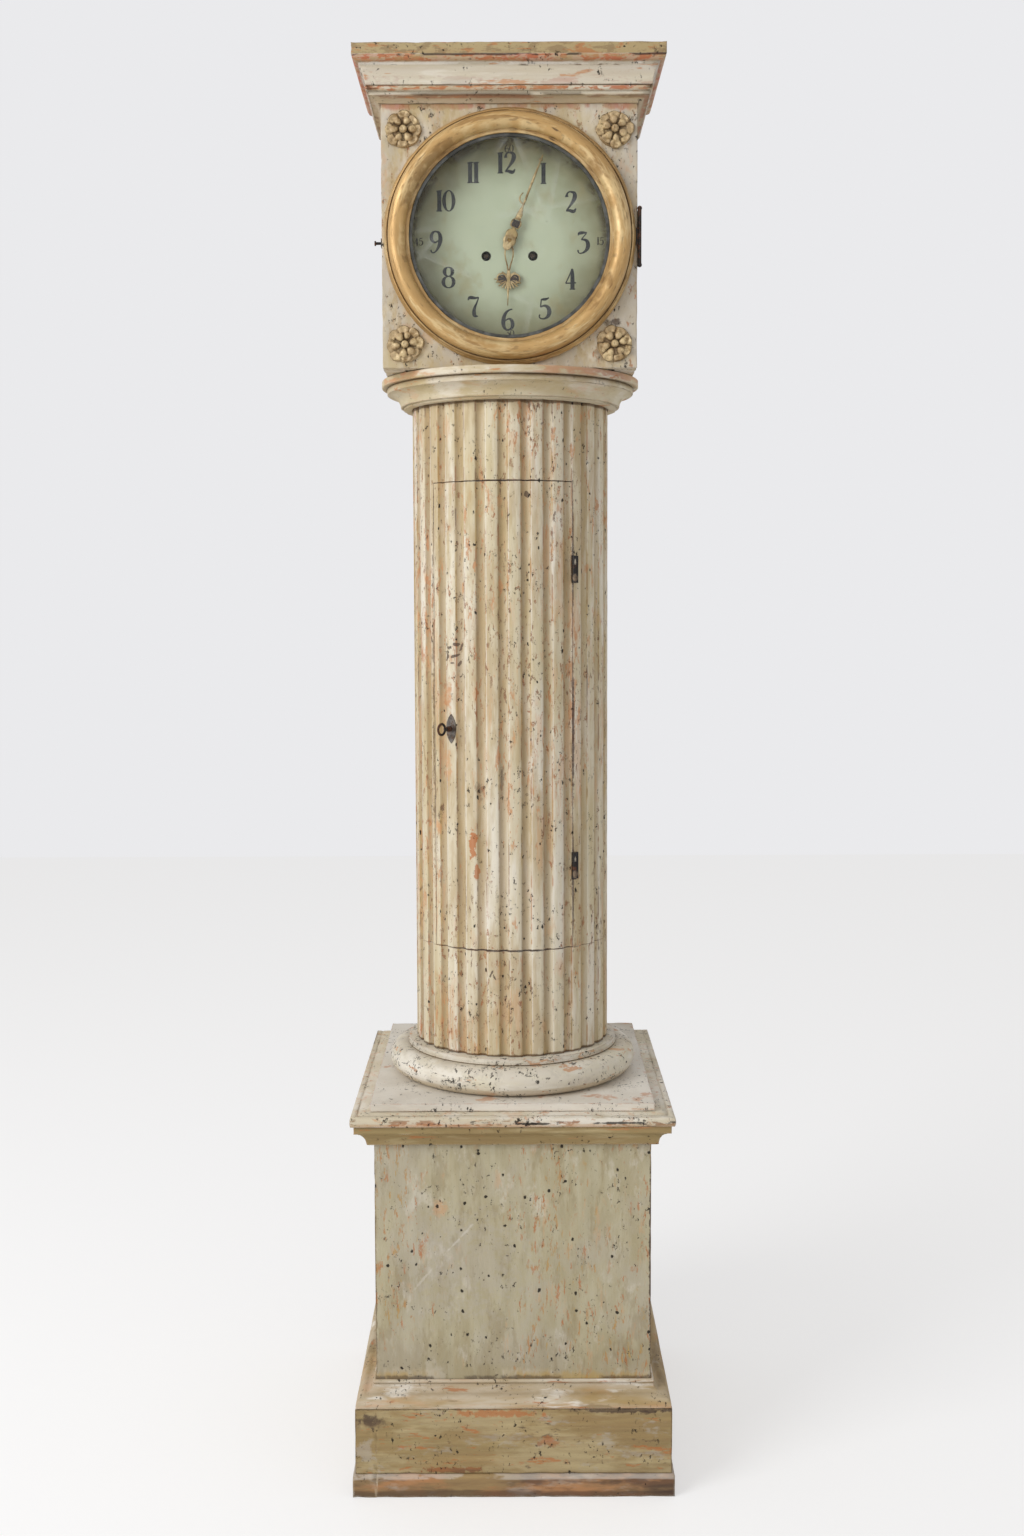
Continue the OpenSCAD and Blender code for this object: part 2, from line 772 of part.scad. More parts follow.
module top_board() {
  color(bare_wood) on_axis() difference() {
    translate([0, 0, top_board_z]) cylinder(h = top_board_t, r = shaft_r);
    block([-well_half_w, -well_front, top_board_z - over], [well_half_w, well_back, hood_z + over]);
  }
}

module backboard() {
  color(bare_wood) on_axis() block([-backboard_half_w, hood_back + pass_gap, hood_z],
    [backboard_half_w, hood_back + pass_gap + backboard_t, box_top_z - 14]);
}

module seat_frame() {
  color(bare_wood) on_axis() {
    for (side = [0, 1]) mirror([side, 0, 0])
      block([cheek_x, -cheek_front, hood_z], [cheek_x + cheek_t, hood_back + pass_gap, seat_z]);
    difference() {
      block([-cheek_x - cheek_t, -seat_front, seat_z], [cheek_x + cheek_t, -seat_back, plates_z0]);
      for (x = [for (s = [-1, 1]) for (d = [0, 2 * pulley_r]) s * wind_x - fall_off + d])
        translate([x, barrel_mid, seat_z - over]) cylinder(h = seat_t + 2 * over, r = line_hole_r);
    }
  }
}

module movement_plates() {
  color(brass) on_axis() {
    difference() {
      for (y = [plate_y, back_in])
        block([-plates_half_w, y, plates_z0], [plates_half_w, y + mov_plate_t, plates_z1]);
      pivot_hole(0, dial_z, pipe_r, pivot_r);
      for (s = [-1, 1]) pivot_hole(s * wind_x, wind_z, wind_r, pivot_r);
      pivot_hole(third_dx, third_z, pivot_r, pivot_r);
      pivot_hole(0, escape_z, pivot_r, pivot_r);
      pivot_hole(0, pallet_z, pivot_r, pivot_r);
      pivot_hole(hammer_x, hammer_z, pivot_r, pivot_r);
    }
    along_y(-motion_x, dial_z, hour_y - 4, plate_y, post_r);
  }
}

module plate_pillars() {
  color(brass) on_axis() {
    for (x = [-pillar_x, pillar_x]) for (z = [plates_z0 + 7, plates_z1 - 7]) {
      along_y(x, z, front_in, back_in, pillar_r);
      along_y(x, z, plate_y - 2, plate_y, pillar_r + 1);
    }
    for (s = [-1, 1]) along_y(s * wind_x - fall_off + 2 * pulley_r, wind_z, front_in, barrel_mid + 3, 1.5);
  }
}

module dial() {
  color([0.66, 0.69, 0.58]) on_axis() {
    difference() {
      plate_at(0, dial_z, dial_y + dial_t, dial_t) circle(dial_r);
      along_y(0, dial_z, dial_y - over, dial_y + 3, hour_pipe_r + 0.4);
      for (s = [-1, 1]) along_y(s * wind_x, wind_z, dial_y - over, dial_y + 3, 7);
    }
    for (x = [-50, 50]) for (z = [dial_z - 38, dial_z + 62])
      along_y(x, z, dial_y + dial_t, plate_y, 2.5);
  }
}

module pendulum_cock() {
  color(brass) on_axis() difference() {
    union() {
      block([-12, back_out, pallet_z + 8], [12, back_out + 3, plates_z1]);
      block([-7, back_out, pallet_z + 8], [7, rod_y + 8, pallet_z + 13]);
      for (y = [rod_y - 8, rod_y + 5]) block([-7, y, pallet_z - 6], [7, y + 3, pallet_z + 9]);
    }
    along_y(0, pallet_z, rod_y - 10, rod_y + 10, 2 + run_gap);
  }
}

module bell() {
  color(brass) on_axis() translate([0, bell_y, bell_z]) difference() {
    intersection() {
      difference() {
        translate([0, 0, bell_h - bell_sphere_r]) sphere(bell_sphere_r);
        translate([0, 0, bell_h - bell_sphere_r]) sphere(bell_sphere_r - bell_t);
      }
      cylinder(h = 2 * bell_r, r = 2 * bell_r);
    }
    cylinder(h = 2 * bell_h, r = 2.5);
  }
}

module bell_stand() {
  color(steel) on_axis() {
    block([-5, front_in, plates_z1 - 6], [5, back_in, plates_z1]);
    translate([0, bell_y, plates_z1 - over]) cylinder(h = bell_z + bell_h + 5 - plates_z1 + over, r = 2.5);
    translate([0, bell_y, bell_z + bell_h]) cylinder(h = 3.5, r = 5);
    translate([0, bell_y, bell_z + bell_h - bell_t - 4]) cylinder(h = 3.7, r = 4);
  }
}

module hood_front() {
  color(sage) on_axis() difference() {
    block([-hood_half_w, -hood_front, hood_foot_z], [hood_half_w, -hood_front + front_t, box_top_z]);
    along_y(0, dial_z, -hood_front - over, -hood_front + front_t + over, opening_r);
    block([lug_x - 1.5, -hood_front - over, latch_z - lug_half_h - 0.8],
      [lug_x + lug_t + 1.5, latch_y + 5.5, latch_z + lug_half_h + 0.8]);
    along_x(latch_y, latch_z, -hood_half_w - over, lug_x + lug_t + 1.5, latch_r + run_gap);
  }
}

module hood_sides() {
  color(sage) on_axis() for (side = [0, 1]) mirror([side, 0, 0]) {
    block([hood_side_in, -hood_front + front_t, hood_foot_z], [hood_half_w, hood_back, box_top_z]);
    block([hood_side_in - runner_w, -hood_front + front_t, hood_foot_z],
      [hood_side_in, hood_back, hood_foot_z + runner_h]);
  }
}

module hood_top() {
  color(sage) on_axis() block([-hood_half_w, -hood_front, box_top_z],
    [hood_half_w, hood_back, box_top_z + top_t]);
}

// From the bottom up: small cove, bead, wide cove, fillet, ovolo and the face
module hood_cornice() {
  color(sage) on_axis() mitred(hood_half_w, hood_front, hood_back, cornice_z, cornice_h) {
    difference() {
      translate([-over, 0]) square([15.7 + over, 8]);
      translate([15.7, -7.6]) circle(15);
    }
    translate([-over, 7.5]) square([15.7 + over, 14]);
    translate([16.5, 17.6]) circle(4.15);
    difference() {
      translate([-over, 21.3]) square([27.3 + over, 26.3]);
      translate([73.2, 21.3]) circle(52.9);
    }
    translate([-over, 47]) square([28.6 + over, 3.7]);
    translate([-over, 50]) square([30 + over, 9]);
    intersection() {
      translate([30, 58.3]) circle(7.6);
      translate([0, 50]) square([60, 9]);
    }
    translate([-over, 58.3]) square([cornice_out + over, cornice_h - 58.3]);
  }
}

module rosettes() {
  color(gilt) on_axis() for (x = [-1, 1]) for (z = [-1, 1])
    translate([x * rosette_off, -hood_front, dial_z + z * rosette_off]) rotate([90, 0, 0]) rosette();
}

// A carved rosette that rises along +Z
module rosette() {
  intersection() {
    union() {
      cylinder(h = 2.5, r = rosette_r - 4);
      for (i = [0 : 7]) rotate(i * 45 + 22.5) translate([rosette_r - 10, 0, -2.5]) sphere(9.8);
      for (i = [0 : 4]) rotate(i * 72 + 18) translate([8.6, 0, 2.5]) sphere(6.6);
      translate([0, 0, 5]) sphere(6);
    }
    cylinder(h = 20, r = rosette_r);
  }
}

module hood_irons() {
  color(iron) on_axis() {
    difference() {
      block([-hood_half_w - 1, latch_y - 6, latch_z - 6], [-hood_half_w, latch_y + 6, latch_z + 6]);
      along_x(latch_y, latch_z, -hood_half_w - 5, -hood_half_w + 5, latch_r + run_gap);
    }
    block([hood_half_w, -hood_front, dial_z - bezel_hinge_h / 2],
      [hood_half_w + hinge_plate_t, -hood_front + hinge_plate_d, dial_z + bezel_hinge_h / 2]);
    for (end = [0, 1]) translate([0, 0, 2 * dial_z * end]) mirror([0, 0, end]) {
      translate([bezel_hinge_x, -bezel_hinge_out, dial_z - bezel_hinge_h / 2])
        cylinder(h = bezel_third, r = bezel_knuckle_r);
      block([hood_half_w, -bezel_hinge_out, dial_z - bezel_hinge_h / 2],
        [hood_half_w + hinge_plate_t, -hood_front, dial_z - bezel_hinge_h / 2 + bezel_third]);
      translate([bezel_hinge_x, -bezel_hinge_out, dial_z - bezel_hinge_h / 2 - 2])
        sphere(bezel_knuckle_r + 0.8);
    }
    translate([bezel_hinge_x, -bezel_hinge_out, dial_z - bezel_hinge_h / 2])
      cylinder(h = bezel_hinge_h, r = bezel_pin_r);
  }
}

module latch_pin() {
  color(iron) on_axis() {
    along_x(latch_y, latch_z, -hood_half_w - 1 - latch_travel - 0.5, lug_x - 1.8, latch_r);
    along_x(latch_y, latch_z, -hood_half_w - 1 - latch_travel - 2.5,
      -hood_half_w - 1 - latch_travel - 0.5, 3.5);
  }
}

module bezel_ring() {
  color(gilt) on_axis() translate([0, 0, dial_z]) rotate([90, 0, 0]) rotate_extrude() {
    translate([bezel_in_r, bezel_back]) square([bezel_r - bezel_in_r, bezel_t - 3]);
    polygon([[bezel_in_r, bezel_back + 2], [bezel_r, bezel_back + 2], [bezel_r, bezel_back + 6],
      [bezel_r - 4, bezel_back + 11], [bezel_in_r + 6, bezel_back + 13], [bezel_in_r, bezel_back + 13]]);
    translate([bezel_r - 5.2, bezel_back + 11]) circle(1.7);
    intersection() {
      translate([round_run_r, round_out]) circle(round_r);
      translate([0, bezel_back]) square([bezel_r, 60]);
    }
  }
}

module sight_ring() {
  color(steel) on_axis() translate([0, 0, dial_z]) rotate([90, 0, 0]) rotate_extrude()
    translate([sight_r, sight_out]) square([bezel_in_r - sight_r, 4.2]);
}

module bezel_glass() {
  color([0.8, 0.85, 0.85, 0.3]) on_axis() plate_at(0, dial_z, -glass_out, glass_t) circle(bezel_in_r);
}

module bezel_irons() {
  color(iron) on_axis() {
    difference() {
      union() {
        translate([bezel_hinge_x, -bezel_hinge_out, dial_z - strap_h / 2])
          cylinder(h = strap_h, r = bezel_knuckle_r);
        block([bezel_r - 2, -bezel_hinge_out - 0.8, dial_z - strap_h / 2],
          [bezel_hinge_x, -bezel_hinge_out + 0.8, dial_z + strap_h / 2]);
      }
      along_y(0, dial_z, -bezel_hinge_out - 9, -bezel_hinge_out + 9, bezel_r);
      translate([bezel_hinge_x, -bezel_hinge_out, dial_z - strap_h])
        cylinder(h = 2 * strap_h, r = bezel_pin_r + run_gap);
    }
    difference() {
      block([lug_x, -bezel_back, latch_z - lug_half_h], [lug_x + lug_t, latch_y + 4.5, latch_z + lug_half_h]);
      along_x(latch_y, latch_z, lug_x - over, lug_x + lug_t + over, latch_r + 0.3);
    }
  }
}

// The minute hand's outline, pointing up
module minute_plan() {
  circle(6.5);
  translate([0, 6]) circle(6.3);
  difference() {
    translate([0, 18.5]) circle(7);
    translate([-2.6, 20]) circle(1.9);
    translate([2.6, 17.5]) circle(1.9);
    translate([-1.8, 15]) circle(1.2);
    translate([2, 22]) circle(1.2);
  }
  intersection() {
    translate([12.4, 36]) circle(16.8);
    translate([-12.4, 36]) circle(16.8);
  }
  difference() {
    translate([-3.4, 58]) circle(5.2);
    translate([-3.4, 58]) circle(3.6);
    translate([-3.4, 60]) square([9, 9]);
  }
  polygon([[-0.8, 24], [0.8, 24], [1.2, 56], [1.9, 60], [1, minute_len - 6], [1.8, minute_len - 4],
    [0.3, minute_len], [-0.3, minute_len], [-1.8, minute_len - 4], [-1, minute_len - 6],
    [-1.9, 60], [-1.2, 56]]);
}

// The hour hand's outline, pointing up
module hour_plan() {
  circle(7);
  translate([0, 6]) circle(6.5);
  difference() {
    lens(26, 7, 17);
    lens(26, 5.4, 15.2);
  }
  for (s = [-1, 1]) {
    difference() {
      translate([s * 7.2, 53]) circle(7);
      translate([s * 7.2, 53]) circle(5.4);
    }
    translate([s * 7.2, 53]) circle(2.6);
    translate([s * 3.8, 53]) square([5, 1.4], center = true);
    for (a = [25, 55, 85]) translate([0, 57]) rotate(s * a) translate([-0.7, 0]) square([1.4, 11]);
  }
  polygon([[-1.2, 40], [1.2, 40], [2, 56], [1, 66], [0.4, hour_len], [-0.4, hour_len], [-1, 66], [-2, 56]]);
}

// A pointed lens about x = 0
module lens(y, half_w, half_h) {
  r = (half_h * half_h + half_w * half_w) / (2 * half_w);
  intersection() {
    translate([r - half_w, y]) circle(r);
    translate([half_w - r, y]) circle(r);
  }
}

module minute_hand() {
  color(gilt) on_axis() {
    difference() {
      plate_at(0, dial_z, minute_hand_y, hand_t) rotate(-minute_at) minute_plan();
      along_y(0, dial_z, minute_hand_y - 5, minute_hand_y + 5, pipe_r);
    }
    along_y(0, dial_z, minute_hand_y - hand_t - 3, minute_hand_y - hand_t, 5);
  }
}

module centre_wheel() {
  color(brass) on_axis() {
    along_y(0, dial_z, minute_hand_y - hand_t, front_in + pass_gap, pipe_r);
    along_y(0, dial_z, front_in, back_in - pass_gap, arbor_r);
    along_y(0, dial_z, back_in - 2, back_out, pivot_r);
    plate_at(0, dial_z, centre_y, wheel_t) wheel_plan(centre_n, centre_mod, third_dir, arbor_r - 0.1);
    plate_at(0, dial_z, great_y + 1.5, 4.5) pinion_plan(leaf_n, great_mod, great_dir + 180 + 180 / leaf_n);
    plate_at(0, dial_z, cannon_y, wheel_t) teeth(cannon_n, motion_mod * (cannon_n / 2 - 0.8),
      motion_mod * (cannon_n / 2 + 0.6), 0.2, 0.08, -90);
  }
}

module hour_hand() {
  color(gilt) on_axis() difference() {
    plate_at(0, dial_z, hour_hand_y, hand_t) rotate(-hour_at) hour_plan();
    along_y(0, dial_z, hour_hand_y - 5, hour_hand_y + 5, hour_pipe_r);
  }
}

module hour_wheel() {
  color(brass) on_axis() difference() {
    union() {
      along_y(0, dial_z, hour_hand_y - hand_t, hour_y, hour_pipe_r);
      plate_at(0, dial_z, hour_y, wheel_t) wheel_plan(hour_n, hour_mod, -90, hour_pipe_r - 0.1);
    }
    along_y(0, dial_z, minute_hand_y - 5, hour_y + 5, pipe_r + run_gap);
  }
}

module minute_wheel() {
  color(brass) on_axis() difference() {
    union() {
      plate_at(-motion_x, dial_z, cannon_y, wheel_t)
        wheel_plan(motion_n, motion_mod, 90 + 180 / motion_n, post_r + run_gap);
      plate_at(-motion_x, dial_z, cannon_y - wheel_t, cannon_y - hour_y)
        pinion_plan(motion_leaf_n, hour_mod, 90 + 180 / motion_leaf_n);
      along_y(-motion_x, dial_z, cannon_y - wheel_t, cannon_y + 1, post_r + 1.4);
    }
    along_y(-motion_x, dial_z, hour_y - 9, plate_y + 5, post_r + run_gap);
  }
}

module third_wheel() {
  color(brass) on_axis() {
    arbor(third_dx, third_z, plate_y);
    plate_at(third_dx, third_z, third_y, wheel_t) wheel_plan(third_n, third_mod, escape_dir, arbor_r - 0.1);
    plate_at(third_dx, third_z, centre_y + 1.5, 4.5)
      pinion_plan(leaf_n, centre_mod, third_dir + 180 + 180 / leaf_n);
  }
}

module escape_wheel() {
  color(brass) on_axis() {
    arbor(0, escape_z, plate_y);
    plate_at(0, escape_z, escape_y, wheel_t) difference() {
      polygon([for (i = [0 : escape_n - 1])
        for (c = [[escape_root_r, 0.1], [escape_r, 0.75], [escape_r, 0.85], [escape_root_r, 0.9]])
          let (a = (i + c[1]) * 360 / escape_n) c[0] * [sin(a), cos(a)]]);
      difference() {
        circle(escape_r - 5.4);
        circle(4);
        for (a = [0, 90]) rotate(a) square([2.4, 3 * escape_r], center = true);
      }
    }
    plate_at(0, escape_z, third_y + 1.5, 4.5) pinion_plan(leaf_n, third_mod, escape_dir + 180 + 180 / leaf_n);
  }
}

module anchor() {
  color(steel) on_axis() {
    arbor(0, pallet_z, plate_y);
    plate_at(0, pallet_z, escape_y + 1, 4) difference() {
      union() {
        circle(4);
        intersection() {
          difference() {
            translate([0, escape_up - pallet_up]) circle(escape_r + 6.5);
            translate([0, escape_up - pallet_up]) circle(pallet_clear_r);
          }
          polygon([[0, 1], [-22, -14.5], [-22, -18], [0, -3.5], [22, -18], [22, -14.5]]);
        }
        polygon([[-3, 2], [3, 2], [14, -9.5], [11, -11.5], [0, -4], [-11, -11.5], [-14, -9.5]]);
      }
      translate([0, escape_up - pallet_up]) circle(pallet_clear_r);
    }
    along_y(0, pallet_z, back_out - over, back_out + 5.5, pivot_r);
    along_y(0, pallet_z, back_out + 3.5, back_out + 5.5, 3);
    block([-1.5, back_out + 3.5, pallet_z - fork_drop], [1.5, back_out + 5.5, pallet_z]);
    block([-rod_r - 3, back_out + 3.5, pallet_z - fork_drop - 4],
      [rod_r + 3, back_out + 5.5, pallet_z - fork_drop + 1]);
    for (side = [0, 1]) mirror([side, 0, 0]) block([rod_r + 0.6, back_out + 3.5, pallet_z - fork_drop - 4],
      [rod_r + 3, rod_y + 3, pallet_z - fork_drop + 1]);
  }
}

module pendulum_rod() {
  color(steel) on_axis() {
    along_y(0, pallet_z, rod_y - 8, rod_y + 8, 2);
    block([-4, rod_y - 4.5, pallet_z - 6], [4, rod_y + 4.5, pallet_z + 5]);
    translate([0, rod_y, bob_z - bob_r - 24]) cylinder(h = pendulum_len + bob_r + 20, r = rod_r);
    translate([0, rod_y, bob_z - bob_r - 9]) cylinder(h = 7, r = 7);
  }
}

module pendulum_bob() {
  color(brass) on_axis() difference() {
    translate([0, rod_y, bob_z]) rotate([90, 0, 0]) rotate_extrude() intersection() {
      translate([0, bob_sphere_r - bob_half_t]) circle(bob_sphere_r, $fn = 240);
      translate([0, bob_half_t - bob_sphere_r]) circle(bob_sphere_r, $fn = 240);
      translate([0, -bob_half_t - over]) square([bob_r - 1, 2 * bob_half_t + 2 * over]);
    }
    translate([0, rod_y, bob_z - 2 * bob_r]) cylinder(h = 4 * bob_r, r = rod_r);
  }
}

// A barrel with its arbor, winding square and ratchet
module barrel(x) {
  along_y(x, wind_z, dial_y + 10, front_in + pass_gap, wind_r);
  block([x - square_half, dial_y + 1, wind_z - square_half],
    [x + square_half, dial_y + 11, wind_z + square_half]);
  along_y(x, wind_z, front_in, back_in - pass_gap, barrel_arbor_r);
  along_y(x, wind_z, back_in - 2, back_out, pivot_r);
  along_y(x, wind_z, barrel_y0, barrel_y1, drum_r);
  for (y = [barrel_y0, barrel_y1 - 1.5]) along_y(x, wind_z, y, y + 1.5, flange_r);
  plate_at(x, wind_z, barrel_y1 + 2.4, 2.5) teeth(32, drum_r - 1, drum_r + 1.2, 0.45, 0.05, 0);
}

module going_barrel() {
  color(brass) on_axis() barrel(wind_x);
}

module strike_barrel() {
  color(brass) on_axis() barrel(-wind_x);
}

module great_wheel() {
  color(brass) on_axis() difference() {
    union() {
      plate_at(wind_x, wind_z, great_y, wheel_t) wheel_plan(great_n, great_mod, great_dir, barrel_arbor_r);
      along_y(wind_x, wind_z, great_y - 2.5, great_y + 1, barrel_arbor_r + 3.4);
    }
    along_y(wind_x, wind_z, front_in, back_in, barrel_arbor_r + run_gap);
  }
}

module strike_wheel() {
  color(brass) on_axis() difference() {
    union() {
      plate_at(-wind_x, wind_z, strike_y, wheel_t)
        wheel_plan(84, 2 * (strike_pin_r + 3) / 85.3, 0, barrel_arbor_r);
      along_y(-wind_x, wind_z, strike_y - 2, strike_y + 1, barrel_arbor_r + 3.4);
      for (i = [0 : strike_pins - 1]) along_y(-wind_x + strike_pin_r * sin(i * 360 / strike_pins),
        wind_z + strike_pin_r * cos(i * 360 / strike_pins), strike_y - wheel_t - 3, strike_y - wheel_t, 1.2);
    }
    along_y(-wind_x, wind_z, front_in, back_in, barrel_arbor_r + run_gap);
  }
}

module hammer() {
  color(steel) on_axis() {
    arbor(hammer_x, hammer_z, plate_y);
    along_y(hammer_x, hammer_z, bell_y - 3, strike_y, 3.4);
    plate_at(hammer_x, hammer_z, bell_y + 1, 2)
      polygon([[-2, -2], [2, -2], [-1, bell_z - hammer_z + 4], [-4, bell_z - hammer_z + 4]]);
    plate_at(hammer_x, hammer_z, strike_y - 2, 2) polygon([[-2.5, 0], [2.5, 0], [5.5, -30], [3, -30]]);
    along_x(bell_y, bell_z + 4, -bell_r - 14, -bell_r - 2, 3.5);
  }
}

// A weight hung from its pulley, at x of the weight
module weight(x) {
  translate([x, barrel_mid, weight_top - weight_len]) {
    cylinder(h = weight_len, r = weight_r);
    translate([0, 0, weight_len]) cylinder(h = 5, r = 9);
  }
  for (s = [-1, 1]) block([x - 4, barrel_mid + s * 5.3 - 0.8, weight_top + 4],
    [x + 4, barrel_mid + s * 5.3 + 0.8, pulley_low + 4]);
  block([x - 4, barrel_mid - 6, weight_top + 4], [x + 4, barrel_mid + 6, weight_top + 7]);
  along_y(x, pulley_low, barrel_mid - 7, barrel_mid + 7, 2);
  translate([x, barrel_mid, pulley_low]) rotate([90, 0, 0]) rotate_extrude() difference() {
    translate([1.9, -4]) square([pulley_r + 0.1, 8]);
    translate([pulley_r, 0]) circle(line_r);
    translate([pulley_r, -line_r - 0.4]) square([9, 2 * line_r + 0.8]);
  }
  intersection() {
    translate([x, barrel_mid, pulley_low]) rotate([90, 0, 0]) rotate_extrude()
      translate([pulley_r, 0]) circle(line_r);
    block([x - 30, barrel_mid - 9, pulley_low - 30], [x + 30, barrel_mid + 9, pulley_low - 0.2]);
  }
}

module going_weight() {
  color(steel) on_axis() weight(wind_x - fall_off + pulley_r);
}

module strike_weight() {
  color(steel) on_axis() weight(-wind_x - fall_off + pulley_r);
}

// The two falls of a line, from the pulley up to the barrel and to the stud
module line(x) {
  translate([x - fall_off, barrel_mid, pulley_low]) cylinder(h = wind_z - pulley_low, r = line_r);
  translate([x - fall_off + 2 * pulley_r, barrel_mid, pulley_low])
    cylinder(h = wind_z - 1.5 - pulley_low, r = line_r);
}

module going_line() {
  color(bare_wood) on_axis() line(wind_x);
}

module strike_line() {
  color(bare_wood) on_axis() line(-wind_x);
}

plinth_strip();
plinth_band();
plinth_moulding();
pedestal_front();
pedestal_sides();
pedestal_back();
pedestal_floor();
cap_moulding();
rim_board();
raised_plate();
column_torus();
column_drum();
column_shaft();
capital();
top_board();
backboard();
seat_frame();
shaft_hinges();
movement_plates();
plate_pillars();
dial();
pendulum_cock();
bell();
bell_stand();
trunk_door();
escutcheon();
lock_case();
door_hinges();
lock_bolt();
key();
hood_front();
hood_sides();
hood_top();
hood_cornice();
rosettes();
hood_irons();
latch_pin();
bezel_ring();
sight_ring();
bezel_glass();
bezel_irons();
minute_hand();
centre_wheel();
hour_hand();
hour_wheel();
minute_wheel();
third_wheel();
escape_wheel();
anchor();
pendulum_rod();
pendulum_bob();
going_barrel();
strike_barrel();
great_wheel();
going_weight();
strike_weight();
going_line();
strike_line();
hammer();
strike_wheel();
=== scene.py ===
"""Tall case clock: old painted wood, gilding, dial, hands and ironwork around the fixed frame."""

import json
import math
import random

import bmesh
import bpy
from bpy.props import FloatProperty, FloatVectorProperty, IntProperty, PointerProperty
from mathutils import Matrix, Vector, noise

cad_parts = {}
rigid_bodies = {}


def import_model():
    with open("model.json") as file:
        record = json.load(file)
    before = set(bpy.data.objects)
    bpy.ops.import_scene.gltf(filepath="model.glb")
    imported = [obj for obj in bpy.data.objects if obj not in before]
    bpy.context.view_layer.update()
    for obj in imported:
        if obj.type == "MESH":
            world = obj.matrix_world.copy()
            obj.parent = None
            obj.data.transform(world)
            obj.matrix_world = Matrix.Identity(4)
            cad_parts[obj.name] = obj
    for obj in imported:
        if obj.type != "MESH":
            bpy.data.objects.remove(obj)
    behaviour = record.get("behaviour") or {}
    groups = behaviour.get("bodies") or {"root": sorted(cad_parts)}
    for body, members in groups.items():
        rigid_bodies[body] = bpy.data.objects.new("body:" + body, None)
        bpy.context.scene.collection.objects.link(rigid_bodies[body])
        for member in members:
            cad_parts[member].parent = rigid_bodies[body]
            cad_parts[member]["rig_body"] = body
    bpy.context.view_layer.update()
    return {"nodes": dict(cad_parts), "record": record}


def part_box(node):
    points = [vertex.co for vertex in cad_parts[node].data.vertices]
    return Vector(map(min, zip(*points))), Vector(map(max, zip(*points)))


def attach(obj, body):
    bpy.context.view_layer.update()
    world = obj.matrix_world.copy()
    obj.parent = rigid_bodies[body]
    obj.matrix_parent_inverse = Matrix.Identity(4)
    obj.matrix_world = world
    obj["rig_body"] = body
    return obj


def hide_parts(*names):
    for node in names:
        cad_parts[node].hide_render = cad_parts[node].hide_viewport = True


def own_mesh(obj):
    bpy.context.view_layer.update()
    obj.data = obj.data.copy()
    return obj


bl_info = {
    "name": "Tall case clock",
    "version": (1, 0, 0),
    "blender": (4, 5, 0),
    "location": "View3D > Sidebar > Clock",
    "description": "Dresses the frame of a painted tall case clock with a fluted column",
    "category": "Object",
}

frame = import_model()

MM = 0.001
EVEN = (1, 1, 1)

# Places on the frame that the finishes and the drawn pieces start from
AXIS = sum(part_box("column_torus"), Vector()) / 2
DIAL = sum(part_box("dial"), Vector()) / 2
DIAL_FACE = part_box("dial")[0].y
CORNICE_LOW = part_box("hood_cornice")[0].z
RIM_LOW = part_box("rim_board")[0].z
TORUS_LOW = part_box("column_torus")[0].z
CAPITAL_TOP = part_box("capital")[1].z
CAPITAL_BAND = CAPITAL_TOP - 0.0113
COLUMN_RADIUS = 0.15
SHAFT_INNER = 0.1295
DRUM_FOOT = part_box("column_drum")[0].z
NECK_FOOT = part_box("capital")[0].z

# The column's flutes, and the degrees by which they are turned from the front
FLUTES = 28.0
FLUTE_TURN = -4.3

# How a worn surface is made: corners that count as arrises, waves and nicks per metre
FLAT_ANGLE = math.radians(0.4)
ARRIS_ANGLE = math.radians(32)
MERGED = 2e-6
WAVES = 22
NICKS, FINE_NICKS = 95, 240
NICK_START = 0.02
ARRIS_ROUND = 0.0002
COLUMN_WEAR = 0.35

# Carving: sides and rings of a rosette's blank, its edge and its inner bulbs, how far it stays inside the
# frame's own rosette, and half the width of that one
ROSETTE_SIDES = 144
ROSETTE_RINGS = 34
ROSETTE_EDGE = 0.001
BULBS = 6
ROSETTE_GAP = 0.0003
FLOWER_HALF = 0.0285

# Clock directions of the two hands in degrees
MINUTE_TURN = 22.0
HOUR_TURN = 181.8

# Thickness of the paint of the numerals, of the sawn hands and of the sheets of painted shadow in their gaps
HOUR_PAINT = 0.0005
MINUTE_PAINT = 0.0004
HAND_THICK = 0.0022
SHADOW_SHEET_THICK = 0.0008

# The minute hand's blade lies this far behind its front, and both hands are open round the arbor
MINUTE_BLADE = 0.0035
ARBOR_HOLE = 0.0032

# The weight lines: sides, rows, strands, twist per metre, and the share left when a weight is wound up
LINE_SIDES = 12
LINE_ROWS = 400
LINE_STRANDS = 3
LINE_TWIST = 900

# The camera as it was fitted to the photograph, in metres and degrees
CAMERA_PLACE = (0.00113, -2.5627, 1.3066)
CAMERA_PITCH = -4.39
CAMERA_ROLL = -0.20
LENS = 38.33
PRINCIPAL_SHIFT = -0.02266

# Strength of the world on the object and behind it
SKY = 0.56
BACKDROP = 0.84

# Half the floor's width, its grey to the camera, and how brightly the lamps and the world light it
FLOOR_REACH = 6
FLOOR_GREY = 0.5
FLOOR_LIT = 0.64

# Each lamp's place, aim, size and power
LAMPS = {
    "window": ((-3.2, -2.6, 2.9), (0, 0, 1.2), (2.2, 3.0), 120),
    "fill": ((3.0, -3.4, 1.6), (0, 0, 1.0), (2.5, 3.0), 6),
}

